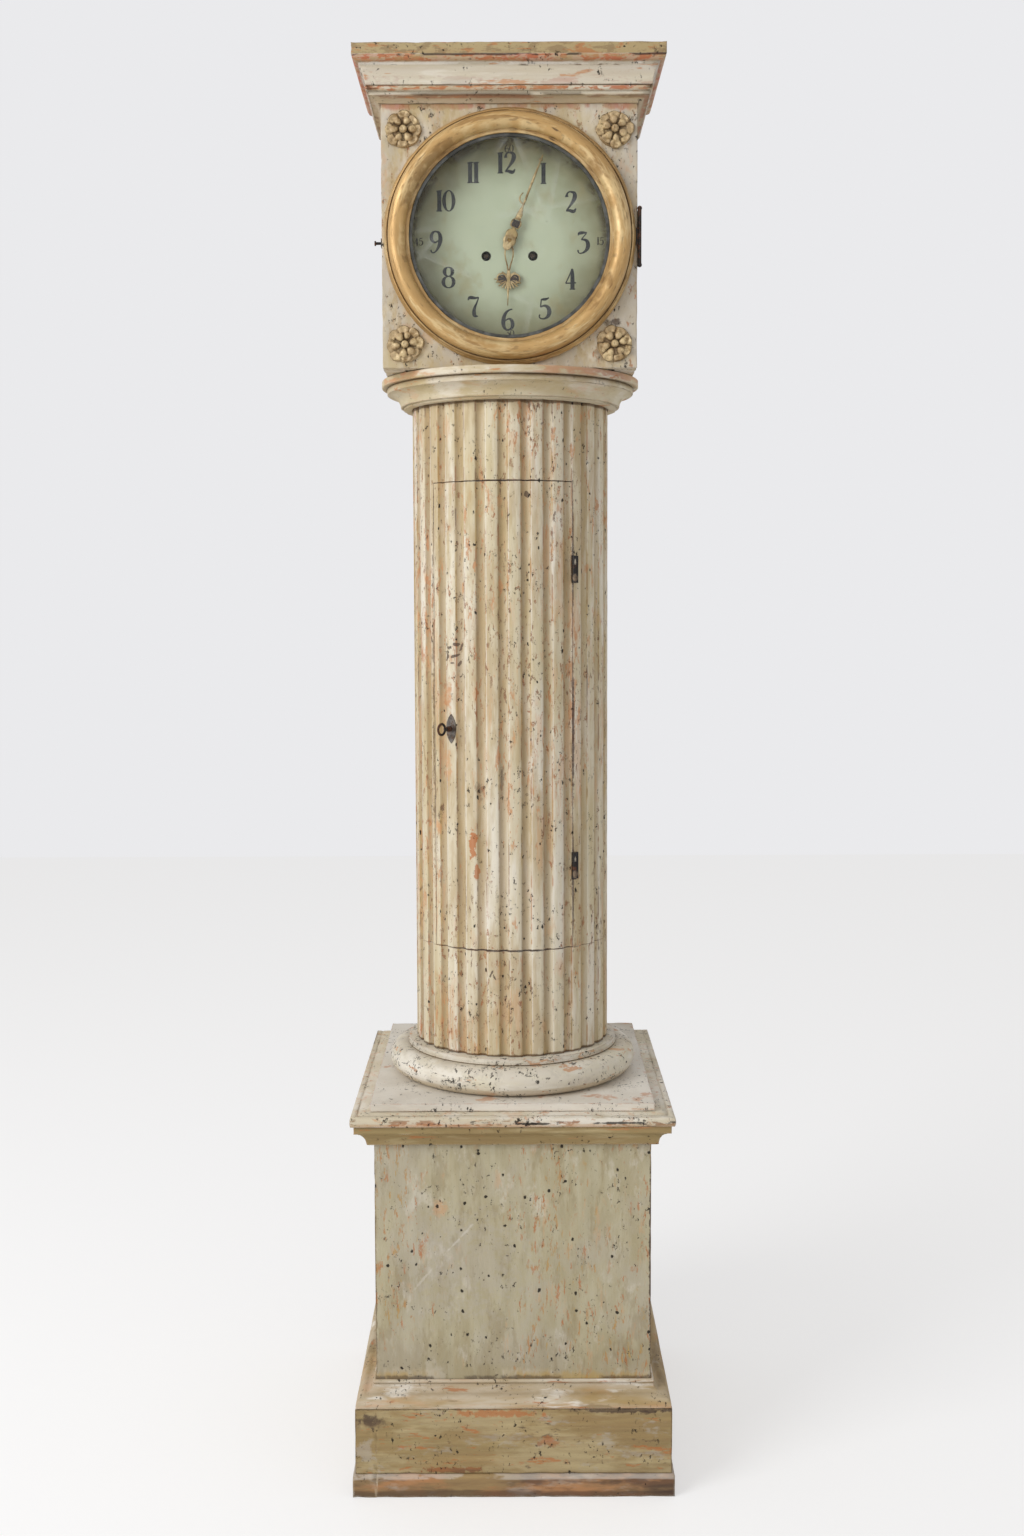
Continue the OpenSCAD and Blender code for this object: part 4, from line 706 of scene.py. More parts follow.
def paint_looks():
    """How each painted surface has aged, from its ground upwards; sizes in metres, scales per metre."""
    # The dirt of each look is the share of its recess darkening, painted shade together with dirt
    upright, level, around = down(0.14), (0.14, 0.14, 1), (0.3, 0.3, 1)
    front = AXIS.y - COLUMN_RADIUS
    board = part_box("pedestal_front")[0].y
    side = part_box("pedestal_front")[1].x
    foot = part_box("plinth_band")[0].y
    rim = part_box("rim_board")[0].y
    moulding_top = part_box("plinth_moulding")[1].z
    low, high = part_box("rosettes")
    flower = Vector((high.x - FLOWER_HALF, 0, low.z + FLOWER_HALF))
    rust = ("rust", "salmon")
    column = dict(
        along=upright, ground=("cream", "warm"), dirt=0.6, shade_and_dirt_reach=0.014, edge=0.0016, edge_wear=0.75,
        ragged=0.42, specks=dict(scale=76.0, size=0.165, cells=0.75, stretch=down(0.6)), scars=0.15,
        layers=[
            cloud(0.6, "warm", 4.0, down(0.5)),
            cloud(0.4, "chalk", 9.0, down(0.22)),
            cloud(0.22, "tan", 120.0, down(0.03), relief=0.1),
            patch(0.5, "chalk", 28.0, 0.34, 0.14, down(0.14), relief=0.1),
            patch(0.5, "tan", 24.0, 0.4, 0.14, down(0.2)),
            # Tan in the hollows of the flutes, drawn towards their left walls: dirt together with painted shade
            layer(hollow_mask, 0.4, "tan"),
            # Painted shade on the left walls of the flutes
            layer(wall_mask, 0.42, ("umber_light", "tan")),
            # A painted highlight along the right arris of each flute
            layer(arris_mask, 0.6, "chalk", middle=0.245, width=0.035, both=False),
            patch(0.34, "salmon", 75.0, 0.34, 0.08, down(0.14), within=(9.0, 0.5)),
            layer(arris_mask, 0.65, ("rust", "plum"), -0.2, width=0.05, within=(44.0, 0.36)),
            layer(arris_mask, 0.4, "ochre", width=0.07, within=(18.0, 0.42)),
            patch(0.7, rust, 130.0, 0.28, 0.04, down(0.24), relief=-0.25, within=(12.0, 0.45)),
            patch(0.75, ("rust", "plum"), 190.0, 0.2, 0.03, down(0.4), relief=-0.25, within=(8.0, 0.5)),
            zone(0.85, "umber", DRUM_FOOT - 0.004, DRUM_FOOT + 0.003, 0.006),
            zone(0.8, "umber", NECK_FOOT - 0.0035, NECK_FOOT + 0.004, 0.006),
            mark(0.85, "plum", (-0.01, front, 0.7965), (0.103, 0.0022), 1.6, 0.5),
            mark(0.8, "plum", (-0.01, front, 1.492), (0.103, 0.0018), 1.6, 0.5),
            mark(0.85, "plum", (0.0925, front, 1.12), (0.0024, 0.11), 1.6, 0.4),
            mark(0.75, "plum", (0.0925, front, 1.38), (0.0016, 0.11), 1.2, 0.4),
            mark(0.75, "plum", (0.0925, front, 0.9), (0.0016, 0.1), 1.2, 0.4),
            mark(0.7, "umber", (-0.1165, front, 1.2), (0.002, 0.3), 2.4, 0.6),
            mark(0.75, rust, (-0.0945, front, 1.176), (0.0085, 0.03), 2.6, 0.8),
            mark(0.65, rust, (-0.0945, front, 1.07), (0.009, 0.034), 2.8, 0.9),
            mark(0.85, "rust", (-0.0573, front, 0.955), (0.0062, 0.026), 2.4, 0.2, relief=-0.3),
            mark(0.8, "rust", (-0.0516, front, 0.915), (0.0045, 0.013), 2.4, 0.2, relief=-0.3),
            mark(0.5, "plum", (-0.0139, front, 1.055), (0.004, 0.03), 2.4, 0.7),
            mark(0.45, "plum", (-0.0465, front, 1.037), (0.009, 0.016), 3.0, 0.8),
        ],
        core=layer(inside_mask, 1.0, ("pine", "umber"), radius=SHAFT_INNER),
    )
    # Small chips of the door: x, z, half width, half height, and turn in degrees
    column["layers"] += [
        mark(0.8, "plum", (x, front, z), (wide, tall), 3.2, 0.25, turn=turn)
        for x, z, wide, tall, turn in (
            (-0.092, 1.248, 0.0035, 0.006, 60), (-0.081, 1.252, 0.003, 0.006, 100),
            (-0.073, 1.249, 0.002, 0.007, 20), (-0.0945, 1.235, 0.0022, 0.008, 10),
            (-0.082, 1.236, 0.007, 0.002, -20), (-0.088, 1.225, 0.004, 0.002, 0),
            (-0.076, 1.224, 0.0022, 0.005, 30), (-0.119, 1.2596, 0.0016, 0.007, 0),
            (0.0242, 1.4705, 0.004, 0.006, 0), (-0.031, 0.7615, 0.0018, 0.006, 25),
            (-0.026, 0.756, 0.0018, 0.006, -25), (-0.1406, 0.9333, 0.0015, 0.012, 0),
        )
    ]
    return {
        "column": column,
        "capital": dict(
            along=around, ground=("cream", "warm"), dirt=0.75, shade_and_dirt_reach=0.022, edge=0.0025,
            edge_wear=0.75, specks=dict(scale=60.0, size=0.12, cells=0.2), scars=0.1,
            edge_shade=("chalk", "salmon"),
            layers=[
                cloud(0.55, "tan", 9.0),
                patch(0.5, "chalk", 24.0, 0.32, 0.14, relief=0.1),
                patch(0.5, "tan", 16.0, 0.3, 0.2),
                patch(0.3, "salmon", 40.0, 0.24, 0.1),
                zone(0.5, ("red", "salmon"), CAPITAL_BAND, CAPITAL_TOP, 0.012, within=(30.0, 0.55)),
                patch(0.8, rust, 80.0, 0.14, 0.04, relief=-0.25),
            ],
        ),
        "torus": dict(
            along=around, ground=("bone", "cream"), dirt=0.65, shade_and_dirt_reach=0.03, edge_wear=0.6,
            specks=dict(scale=64.0, size=0.12, cells=0.5, stretch=sideways(0.6)), scars=0.28,
            layers=[
                cloud(0.35, "ash", 12.0),
                patch(0.6, "chalk", 22.0, 0.42, 0.14, relief=0.12),
                patch(0.3, "tan", 26.0, 0.2, 0.14),
                patch(0.3, "ash", 70.0, 0.3, 0.08, (0.5, 0.5, 0.5)),
                zone(0.4, "tan", 0.0, TORUS_LOW + 0.013, 0.01),
                patch(0.7, rust, 90.0, 0.12, 0.04, relief=-0.25),
                patch(0.8, "chip", 150.0, 0.15, 0.03, sideways(0.4), relief=-0.3, within=(10.0, 0.5)),
            ],
        ),
        "plate": dict(
            along=level, ground=("bone", "chalk"), dirt=0.5, shade_and_dirt_reach=0.03, edge_wear=0.9,
            specks=dict(scale=60.0, size=0.12, cells=0.3, stretch=EVEN), scars=0.18,
            layers=[
                cloud(0.4, "ash", 14.0),
                patch(0.5, "tan", 20.0, 0.22, 0.14),
                patch(0.5, "chalk", 30.0, 0.4, 0.14, relief=0.1),
                patch(0.6, rust, 60.0, 0.16, 0.05, relief=-0.2),
            ],
        ),
        "rim": dict(
            along=level, ground=("bone", "cream"), dirt=0.5, edge=0.004, edge_wear=1.0, ragged=0.34,
            specks=dict(scale=66.0, size=0.14, cells=0.4, stretch=sideways(0.7)), scars=0.22,
            edge_shade=("tan", "chalk"),
            layers=[
                cloud(0.3, "tan", 10.0),
                patch(0.6, "chalk", 30.0, 0.4, 0.12, relief=0.1),
                patch(0.3, "salmon", 60.0, 0.22, 0.1, sideways(0.6)),
                patch(0.6, rust, 130.0, 0.18, 0.05, sideways(0.6), relief=-0.25),
                zone(0.5, ("salmon", "tan"), RIM_LOW, RIM_LOW + 0.005, 0.004, within=(40.0, 0.7)),
                zone(
                    0.75, ("rust", "umber_light"), RIM_LOW + 0.002, RIM_LOW + 0.011, 0.012, relief=-0.2,
                    within=(60.0, 0.4),
                ),
                zone(
                    0.9, ("plum", "chip"), RIM_LOW + 0.004, RIM_LOW + 0.009, 0.006, relief=-0.3,
                    within=(70.0, 0.26),
                ),
                mark(0.85, "chip", (0.03, rim, 0.5615), (0.035, 0.0022), 1.8, 0.3, relief=-0.3),
                mark(0.85, "chip", (0.155, rim, 0.5625), (0.04, 0.002), 1.8, 0.3, relief=-0.3),
            ],
        ),
        "cap": dict(
            along=level, ground=("khaki", "tan"), dirt=0.8, edge_wear=0.75, edge_shade=("chalk", "salmon"),
            specks=dict(scale=60.0, size=0.13, cells=0.3, stretch=sideways(0.7)), scars=0.16,
            layers=[
                cloud(0.5, "khaki_dark", 10.0),
                cloud(0.3, "khaki_dark", 80.0, sideways(0.06), relief=0.15),
                patch(0.5, "warm", 26.0, 0.3, 0.12, relief=0.1),
                patch(0.7, rust, 60.0, 0.17, 0.05, relief=-0.25),
            ],
        ),
        "pedestal": dict(
            along=down(0.3), ground=("sage", "sage_dull"), dirt=0.5, shade_and_dirt_reach=0.05, edge_wear=0.95,
            edge_shade=("tan", "plum"), specks=dict(scale=54.0, size=0.16, cells=0.62, stretch=down(0.8)),
            scars=0.12,
            layers=[
                cloud(0.45, "sage_dull", 3.2, down(0.8)),
                cloud(0.22, "khaki", 110.0, down(0.05), relief=0.12),
                patch(0.35, "ash", 9.0, 0.42, 0.2, down(0.8)),
                patch(0.25, "chalk", 26.0, 0.16, 0.12, down(0.6), relief=0.1),
                patch(0.28, "khaki_dark", 48.0, 0.3, 0.1),
                patch(0.3, "salmon", 60.0, 0.16, 0.1, within=(7.0, 0.5)),
                patch(0.75, "rust", 170.0, 0.15, 0.04, down(0.22), relief=-0.25, within=(6.0, 0.36)),
                zone(0.25, "khaki_dark", 0.0, moulding_top + 0.05, 0.16),
                patch(
                    0.7, ("rust", "ochre"), 150.0, 0.22, 0.04, down(0.25), relief=-0.25,
                    within=(7.0, 0.34),
                ),
                mark(0.85, "plum", (side, board, 0.36), (0.0035, 0.2), 2.2, 0.4, deep=0.006, relief=-0.3),
                mark(0.5, "umber", (-side, board, 0.3), (0.003, 0.24), 2.2, 0.5, deep=0.006),
                zone(
                    0.25, ("chalk", "ochre"), moulding_top + 0.003, moulding_top + 0.014, 0.03,
                    within=(16.0, 0.5),
                ),
                zone(0.5, "ochre", 0.0, moulding_top + 0.008, 0.03, within=(9.0, 0.55)),
                zone(0.6, "plum", 0.0, moulding_top + 0.004, 0.012, within=(14.0, 0.6)),
                mark(0.4, "chalk", (-0.085, board, 0.372), (0.0022, 0.046), 3.6, 0.9, turn=43, relief=0.1),
                mark(0.28, "chalk", (-0.132, board, 0.318), (0.0025, 0.026), 2.2, 0.7, turn=40, relief=0.1),
                mark(0.5, "salmon", (-0.106, board, 0.425), (0.013, 0.017), 2.6, 0.6),
                mark(0.35, "ash", (-0.06, board, 0.34), (0.11, 0.1), 3.0, 0.8),
            ],
        ),
        "foot_moulding": dict(
            along=level, ground=("bone", "tan"), dirt=0.7, edge_wear=0.9, edge_shade=("chalk", "salmon"),
            specks=dict(scale=60.0, size=0.12, cells=0.3, stretch=sideways(0.6)), scars=0.16,
            layers=[
                cloud(0.5, "tan", 8.0),
                cloud(0.3, "khaki", 80.0, sideways(0.06), relief=0.15),
                patch(0.45, "salmon", 26.0, 0.32, 0.14),
                patch(0.8, "chalk", 34.0, 0.24, 0.08, relief=0.1),
                patch(0.6, "khaki_dark", 40.0, 0.24, 0.08),
                patch(0.7, "rust", 70.0, 0.14, 0.05, relief=-0.2),
            ],
        ),
        "band": dict(
            along=level, ground=("khaki", "tan"), dirt=0.5, edge=0.004, edge_wear=0.9,
            edge_shade=("tan", "plum"), specks=dict(scale=60.0, size=0.13, cells=0.35, stretch=sideways(0.6)),
            scars=0.17,
            layers=[
                cloud(0.5, "khaki_dark", 9.0),
                cloud(0.42, "khaki_dark", 90.0, sideways(0.05), relief=0.2),
                patch(0.6, "warm", 16.0, 0.42, 0.16, sideways(0.3), relief=0.1),
                patch(0.5, "ash", 40.0, 0.16, 0.1, sideways(0.4), relief=0.1),
                cloud(0.3, "umber_light", 170.0, sideways(0.06), relief=0.2),
                patch(0.65, "rust", 60.0, 0.14, 0.06, sideways(0.25), relief=-0.2),
                patch(0.6, "plum", 30.0, 0.1, 0.05, sideways(0.4), relief=-0.3),
                mark(0.6, ("plum", "umber_light"), (-0.21, foot, 0.113), (0.03, 0.017), 2.6, 0.9),
                mark(0.6, "plum", (-0.215, foot, 0.116), (0.018, 0.01), 3.0, 0.7, relief=-0.2),
                mark(0.7, "plum", (-0.2345, foot, 0.08), (0.003, 0.045), 2.4, 0.5, deep=0.006),
                mark(0.45, "ash", (-0.219, foot, 0.068), (0.018, 0.018), 3.2, 0.5),
                mark(0.8, "plum", (0.17, foot, 0.13), (0.09, 0.0045), 2.4, 0.5, relief=-0.2),
                mark(0.7, "rust", (-0.02, foot, 0.126), (0.075, 0.007), 2.6, 0.5),
                mark(0.75, ("plum", "rust"), (-0.09, foot, 0.04), (0.05, 0.005), 3.0, 0.4),
                mark(0.6, ("plum", "rust"), (0.05, foot, 0.082), (0.016, 0.01), 3.0, 0.5),
            ],
        ),
        "foot": dict(
            along=level, ground=("tan", "umber_light"), dirt=0.55, edge=0.005, edge_wear=0.9,
            edge_shade=("chalk", "tan"), specks=dict(scale=50.0, size=0.13, cells=0.2, stretch=sideways(0.6)),
            scars=0.1,
            layers=[
                cloud(0.4, "umber_light", 9.0, sideways(0.5)),
                patch(0.6, rust, 14.0, 0.42, 0.14, sideways(0.3)),
                patch(0.5, "ash", 20.0, 0.3, 0.12, sideways(0.4)),
                patch(0.7, "plum", 18.0, 0.3, 0.12, sideways(0.3)),
                zone(0.65, "plum", -0.01, 0.01, 0.02),
                zone(0.35, "chalk", 0.0275, 0.04, 0.008, within=(16.0, 0.6)),
            ],
        ),
        "hood": dict(
            along=down(0.5), ground=("bone", "warm"), dirt=0.8, shade_and_dirt_reach=0.045, edge_wear=0.85,
            edge_shade=("tan", "chalk"), specks=dict(scale=64.0, size=0.13, cells=0.4, stretch=down(0.7)),
            scars=0.16,
            layers=[
                cloud(0.5, "tan", 11.0, down(0.6)),
                patch(0.6, "ash", 14.0, 0.5, 0.16, relief=0.1),
                patch(0.45, "tan", 34.0, 0.3, 0.1),
                patch(0.3, "salmon", 30.0, 0.2, 0.1),
                patch(0.7, ("rust", "umber_light"), 90.0, 0.13, 0.04, relief=-0.25),
                zone(
                    0.6, ("red", "tan"), CORNICE_LOW - 0.006, CORNICE_LOW + 0.02, 0.016,
                    within=(12.0, 0.6),
                ),
                # A dark smudge above the lower right rosette, partly dirt and partly painted shadow in that corner of
                # the hood's face
                mark(
                    0.8, ("plum", "umber"), (flower.x, board, flower.z + 0.031), (0.017, 0.007), 3.2, 0.6,
                    relief=-0.2,
                ),
                mark(0.5, "umber", (flower.x - 0.02, board, flower.z - 0.012), (0.012, 0.022), 3.0, 0.8),
            ],
        ),
        "cornice": dict(
            along=level, ground=("bone", "cream"), dirt=0.85, shade_and_dirt_reach=0.018, edge=0.0025, edge_wear=0.6,
            specks=dict(scale=62.0, size=0.12, cells=0.34, stretch=sideways(0.7)), scars=0.16,
            edge_shade=("chalk", "tan"),
            layers=[
                cloud(0.4, "ash", 9.0),
                cloud(0.25, "tan", 80.0, sideways(0.05), relief=0.12),
                patch(0.5, "tan", 18.0, 0.28, 0.14),
                patch(0.4, "chalk", 30.0, 0.3, 0.12, relief=0.1),
                # Coloured bands along the cornice, measured from its lower edge
                *[
                    zone(
                        share, shade, CORNICE_LOW + low, CORNICE_LOW + high, ragged, (0.3, 0.3, 1), relief=relief,
                        within=within,
                    )
                    for share, shade, low, high, ragged, relief, within in (
                        (0.9, ("khaki", "tan"), 0.0588, 0.0800, 0.003, 0.0, None),
                        (0.6, "rust", 0.0588, 0.0800, 0.004, -0.2, (70.0, 0.3)),
                        (0.5, "umber_light", 0.0588, 0.0800, 0.004, 0.0, (120.0, 0.42)),
                        (0.6, ("red", "tan"), 0.0505, 0.0583, 0.003, 0.0, None),
                        (0.8, ("red", "rust"), 0.0505, 0.0583, 0.006, -0.1, (170.0, 0.46)),
                        (0.5, ("tan", "khaki"), 0.0505, 0.0583, 0.006, 0.0, (130.0, 0.4)),
                        (0.85, ("plum", "chip"), 0.0560, 0.0588, 0.003, -0.3, (44.0, 0.5)),
                        (0.7, "chalk", 0.0470, 0.0500, 0.003, 0.0, (30.0, 0.6)),
                        (0.75, ("umber_light", "chip"), 0.0455, 0.0475, 0.002, 0.0, (36.0, 0.45)),
                        (0.5, ("salmon", "tan"), 0.0145, 0.0205, 0.006, 0.0, (40.0, 0.7)),
                        (0.85, ("red", "rust"), 0.0145, 0.0205, 0.008, -0.1, (150.0, 0.54)),
                        (0.4, ("red", "ash"), 0.0205, 0.0330, 0.012, 0.0, (60.0, 0.45)),
                        (0.55, "tan", -0.0100, 0.0090, 0.004, 0.0, None),
                        (0.6, ("red", "umber_light"), 0.0060, 0.0095, 0.003, 0.0, (40.0, 0.5)),
                    )
                ],
                patch(0.7, rust, 70.0, 0.12, 0.04, relief=-0.25),
            ],
        ),
    }


def bare_wood(name, light, dark, along):
    """Old wood without paint, with its grain along one direction."""
    material, tree, shader, vector = new_material(name)
    ring = cloud_mask(tree, vector, along, 26.0)
    fibre = cloud_mask(tree, vector, along, 150.0)
    tone = laid(tree, mixed(tree, ring, light, dark), dark, fibre, 0.45)
    # Umber in the recesses that the ambient occlusion finds: painted shade together with dirt
    tone = laid(tree, tone, colours().umber, dirt_mask(tree, 0.04), 0.6)
    tone = mixed(tree, speck_mask(tree, vector, 40.0, 0.07, 0.2, EVEN), tone, colours().chip)
    height = weighed(tree, fibre, -0.5, ring)
    fill(tree, shader, {
        "Base Color": tone,
        "Roughness": ramped(tree, fibre, 0, 1, 0.6, 0.85),
        "Normal": bumped(tree, height, 0.5, 0.0006, worn_edges(tree, vector, 0.0015)["Normal"]),
    })
    return material


def gilding(name, bright, worn, amount, shine, ring=False):
    """Old gilding over bole: rubbed on the rounds, brown where it has gone, with pale patches of painted highlight,
    dull in the hollows, and darkened there by painted shade together with dirt.
    """
    umber = colours().umber
    material, tree, shader, vector = new_material(name)
    if ring:
        vector = placed(tree, ring_group, {"Vector": vector})["Vector"]
    clouds = cloud_mask(tree, vector, EVEN, 16.0)
    fine = cloud_mask(tree, vector, EVEN, 120.0)
    bare = patch_mask(tree, vector, EVEN, 60.0, amount, 0.1)
    # Pale patches of painted highlight
    pale = patch_mask(tree, vector, EVEN, 50.0, 0.42, 0.1)
    lines = ramped(tree, noisy(tree, vector, 330.0, 2.0), 0.6, 0.68)
    holes = speck_mask(tree, vector, 60.0, 0.1, 0.3, EVEN)
    tone = mixed(tree, clouds, bright, mixed(tree, 0.45, bright, worn))
    for shade, mask, share in (
        (linear("ead3a0"), pale, 0.55),
        (worn, fine, 0.3),
        (worn, bare, 0.75),
        (umber, lines, 0.35),
        # Umber in the recesses: painted shade together with dirt
        (umber, dirt_mask(tree, 0.012), 0.85),
        (umber, holes, 0.8),
    ):
        tone = laid(tree, tone, shade, mask, share)
    relief = weighed(tree, bare, -0.5, weighed(tree, fine, 0.25, clouds))
    relief = weighed(tree, holes, -1.5, relief)
    fill(tree, shader, {
        "Base Color": tone,
        "Metallic": ramped(tree, bare, 0, 1, shine, shine * 0.3),
        "Roughness": weighed(tree, bare, 0.25, ramped(tree, fine, 0, 1, 0.36, 0.52)),
        "Normal": bumped(tree, relief, 0.45, 0.0008, worn_edges(tree, vector, 0.002, 0.4)["Normal"]),
    })
    return material


def metal(name, tone, tarnish, metallic, rough, rust=None):
    """Worked metal: tarnished, finely scratched, and rusted where rust is given."""
    material, tree, shader, vector = new_material(name)
    clouds = cloud_mask(tree, vector, EVEN, 60.0)
    fine = cloud_mask(tree, vector, (1, 1, 4), 400.0)
    wear = worn_edges(tree, vector, 0.0008, 0.35)
    shade = laid(tree, mixed(tree, clouds, tone, tarnish), tarnish, wear["Hollow"], 0.6)
    if rust is not None:
        shade = laid(tree, shade, rust, patch_mask(tree, vector, EVEN, 90.0, 0.4, 0.08), 0.8)
        shade = laid(tree, shade, mixed(tree, 0.5, tone, (0.4, 0.38, 0.36)), wear["Worn"], 0.6)
    fill(tree, shader, {
        "Base Color": shade,
        "Metallic": metallic,
        "Roughness": ramped(tree, fine, 0, 1, rough, rough + 0.2),
        "Normal": bumped(tree, weighed(tree, fine, 0.4, clouds), 0.3, 0.0003, wear["Normal"]),
    })
    return material


def from_dial(tree, vector):
    """Coordinates measured from the middle of the dial."""
    return add(tree, "ShaderNodeMapping", {"Vector": vector, "Location": (-DIAL.x, 0, -DIAL.z)}).outputs[0]


def dial_paint():
    """Painted sheet iron: sage in the middle, browner towards the rim, stained and crazed, and dark at its edge with
    painted shadow of the bezel together with dirt.
    """
    material, tree, shader, vector = new_material("dial_paint")
    near = from_dial(tree, vector)
    radius = vectors(tree, "LENGTH", vectors(tree, "MULTIPLY", near, (1, 0, 1)))
    reach = weighed(tree, noisy(tree, near, 14.0, 3.0), 0.05, radius)
    tone = mixed(tree, ramped(tree, reach, 0.085, 0.172), colours().dial_middle, colours().dial_edge)
    mottled = cloud_mask(tree, near, EVEN, 20.0)
    stained = patch_mask(tree, near, EVEN, 15.0, 0.22, 0.16, (1, 1, 0.7))
    rim_shadow_and_dirt_share = weighed(tree, patch_mask(tree, near, EVEN, 34.0, 0.5, 0.1), 0.5, 0.35)
    specks = speck_mask(tree, near, 70.0, 0.07, 0.16, EVEN)
    # The dark ring at the edge is painted shadow of the bezel together with dirt, stronger in patches
    for shade, mask, share in (
        ("c3c9ad", mottled, 0.22),
        ("94834f", stained, 0.4),
        ("3f3622", ramped(tree, radius, 0.128, 0.142), rim_shadow_and_dirt_share),
        ("4a3a22", specks, 0.8),
    ):
        tone = laid(tree, tone, linear(shade), mask, share)
    # Places where the paint is rubbed: x and z from the middle, half sizes, turn in degrees and share
    for x, z, wide, tall, turn, share in (
        (0.0, 0.0, 0.016, 0.022, 0, 0.6),
        (0.004, -0.06, 0.03, 0.017, 0, 0.65),
        (0.012, 0.03, 0.008, 0.03, -22, 0.35),
    ):
        rubbed = mark_mask(tree, near, EVEN, (x, 0, z), (wide, tall), 0.8, 0.9, -turn, 0.5)
        tone = laid(tree, tone, linear("7d6f42"), rubbed, share)
    fill(tree, shader, {
        "Base Color": tone,
        "Roughness": ramped(tree, mottled, 0, 1, 0.32, 0.5),
        "Normal": bumped(tree, weighed(tree, specks, -1.0, mottled), 0.25, 0.0004),
    })
    return material


def ink(name, scale, amount, share, dark, light):
    """Brushed black paint of the numerals, paler where it has rubbed thin."""
    material, tree, shader, vector = new_material(name)
    worn = patch_mask(tree, vector, EVEN, scale, amount, 0.1)
    fill(tree, shader, {
        "Base Color": laid(tree, dark, light, worn, share),
        "Roughness": ramped(tree, worn, 0, 1, 0.4, 0.6),
        "Normal": bumped(tree, worn, 0.2, 0.0002),
    })
    return material


def old_glass():
    """Old window glass: clear, slightly uneven, with pale wiping marks and dust."""
    material, tree, shader, vector = new_material("old_glass")
    near = from_dial(tree, vector)
    marks = None
    # Wiping marks: the direction of each in radians, and how far it passes from the middle
    for turn, offset in ((0.4, 0.06), (1.15, -0.075), (1.75, 0.03), (2.5, 0.085), (2.95, -0.05), (0.95, 0.045)):
        parts = split(tree, near)
        side = times(tree, parts["X"], math.cos(turn))
        off = minus(tree, weighed(tree, parts["Z"], math.sin(turn), side), offset)
        bent = weighed(tree, noisy(tree, near, 4.0, 1.0), 0.006, off)
        wiped = times(tree, ramped(tree, bent, 0.0, 0.003), ramped(tree, bent, 0.003, 0.014, 1.0, 0.0))
        marks = wiped if marks is None else maths(tree, "MAXIMUM", marks, wiped)
    streaks = times(tree, marks, ramped(tree, noisy(tree, near, 11.0, 2.0), 0.42, 0.62))
    dust = ramped(tree, noisy(tree, near, 30.0, 4.0), 0.3, 0.8)
    fill(tree, shader, {
        "Base Color": (0.86, 0.9, 0.86),
        "Roughness": ramped(tree, dust, 0, 1, 0.08, 0.25),
        "Alpha": weighed(tree, streaks, 0.045, weighed(tree, dust, 0.02, 0.01)),
    })
    return material


def hinge_iron():
    """Rusty iron of the trunk hinges, with a painted highlight in the slot of the upper half and a worn foot on each.
    """
    low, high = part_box("shaft_hinges")
    middle = (low.x + high.x) / 2
    material, tree, shader, vector = new_material("hinge_iron")
    clouds = cloud_mask(tree, vector, EVEN, 160.0)
    tone = mixed(tree, clouds, colours().chip, colours().iron)
    for top in (high.z, low.z + 0.04):
        # A painted highlight in the slot, then the worn foot below it
        for drop, wide, tall, shade in ((0.013, 0.0016, 0.009, "b5aa96"), (0.0325, 0.005, 0.007, "7d6a55")):
            spot = mark_mask(tree, vector, EVEN, (middle, low.y, top - drop), (wide, tall), 0.9, 0.4)
            tone = laid(tree, tone, linear(shade), spot, ramped(tree, clouds, 0, 1, 1.0, 0.5))
    fill(tree, shader, {
        "Base Color": tone,
        "Roughness": ramped(tree, clouds, 0, 1, 0.45, 0.7),
        "Metallic": 0.35,
        "Normal": bumped(tree, clouds, 0.5, 0.0004),
    })
    return material


def pale_floor():
    """A plain pale floor that meets the backdrop in tone and keeps the object's shadow."""
    material, tree, shader, _ = new_material("pale_floor")
    seen = add(tree, "ShaderNodeLightPath").outputs["Is Camera Ray"]
    fill(tree, shader, {
        "Base Color": mixed(tree, seen, (0.9, 0.89, 0.88), (FLOOR_GREY, FLOOR_GREY, FLOOR_GREY)),
        "Emission Color": (1, 0.99, 0.98),
        "Emission Strength": times(tree, seen, BACKDROP - FLOOR_GREY * FLOOR_LIT),
        "Roughness": 1.0,
        "Specular IOR Level": 0.0,
    })
    return material


# Shapes


def piece_from(bm, name, smooth=40):
    """An object made of a finished bmesh, smooth up to an angle in degrees."""
    mesh = bpy.data.meshes.new(name)
    bm.to_mesh(mesh)
    bm.free()
    mesh.shade_smooth()
    mesh.set_sharp_from_angle(angle=math.radians(smooth))
    piece = bpy.data.objects.new(name, mesh)
    bpy.context.scene.collection.objects.link(piece)
    return piece


def dress(piece, body, material, replaced=(), slot=None):
    """Gives a new piece its material, its body and the nodes that it stands for."""
    piece.data.materials.clear()
    piece.data.materials.append(material)
    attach(piece, body)
    if replaced:
        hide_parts(*replaced)


def cover(node, material):
    """Gives a CAD node a material in every slot."""
    obj = frame["nodes"][node]
    if not obj.material_slots:
        obj.data.materials.append(material)
    for row in obj.material_slots:
        row.material = material


def body_with(node):
    return frame["nodes"][node]["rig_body"]


def slot_of(node):
    """The record's material slot of a CAD node, or None."""
    for row in frame["record"]["subparts"]:
        if row["node"] == node:
            return row.get("material_slot")
    return None


def divide(bm, low, high, steps):
    """Cuts all faces at even planes across X, Y and Z, where a step is given."""
    for axis, step in enumerate(steps):
        if not step:
            continue
        normal = Vector([1.0 if i == axis else 0.0 for i in range(3)])
        count = int((high[axis] - low[axis]) / step)
        for i in range(count):
            place = low[axis] + (i + 0.5) * (high[axis] - low[axis]) / count
            everything = bm.verts[:] + bm.edges[:] + bm.faces[:]
            bmesh.ops.bisect_plane(bm, geom=everything, plane_co=normal * place, plane_no=normal, dist=1e-6)


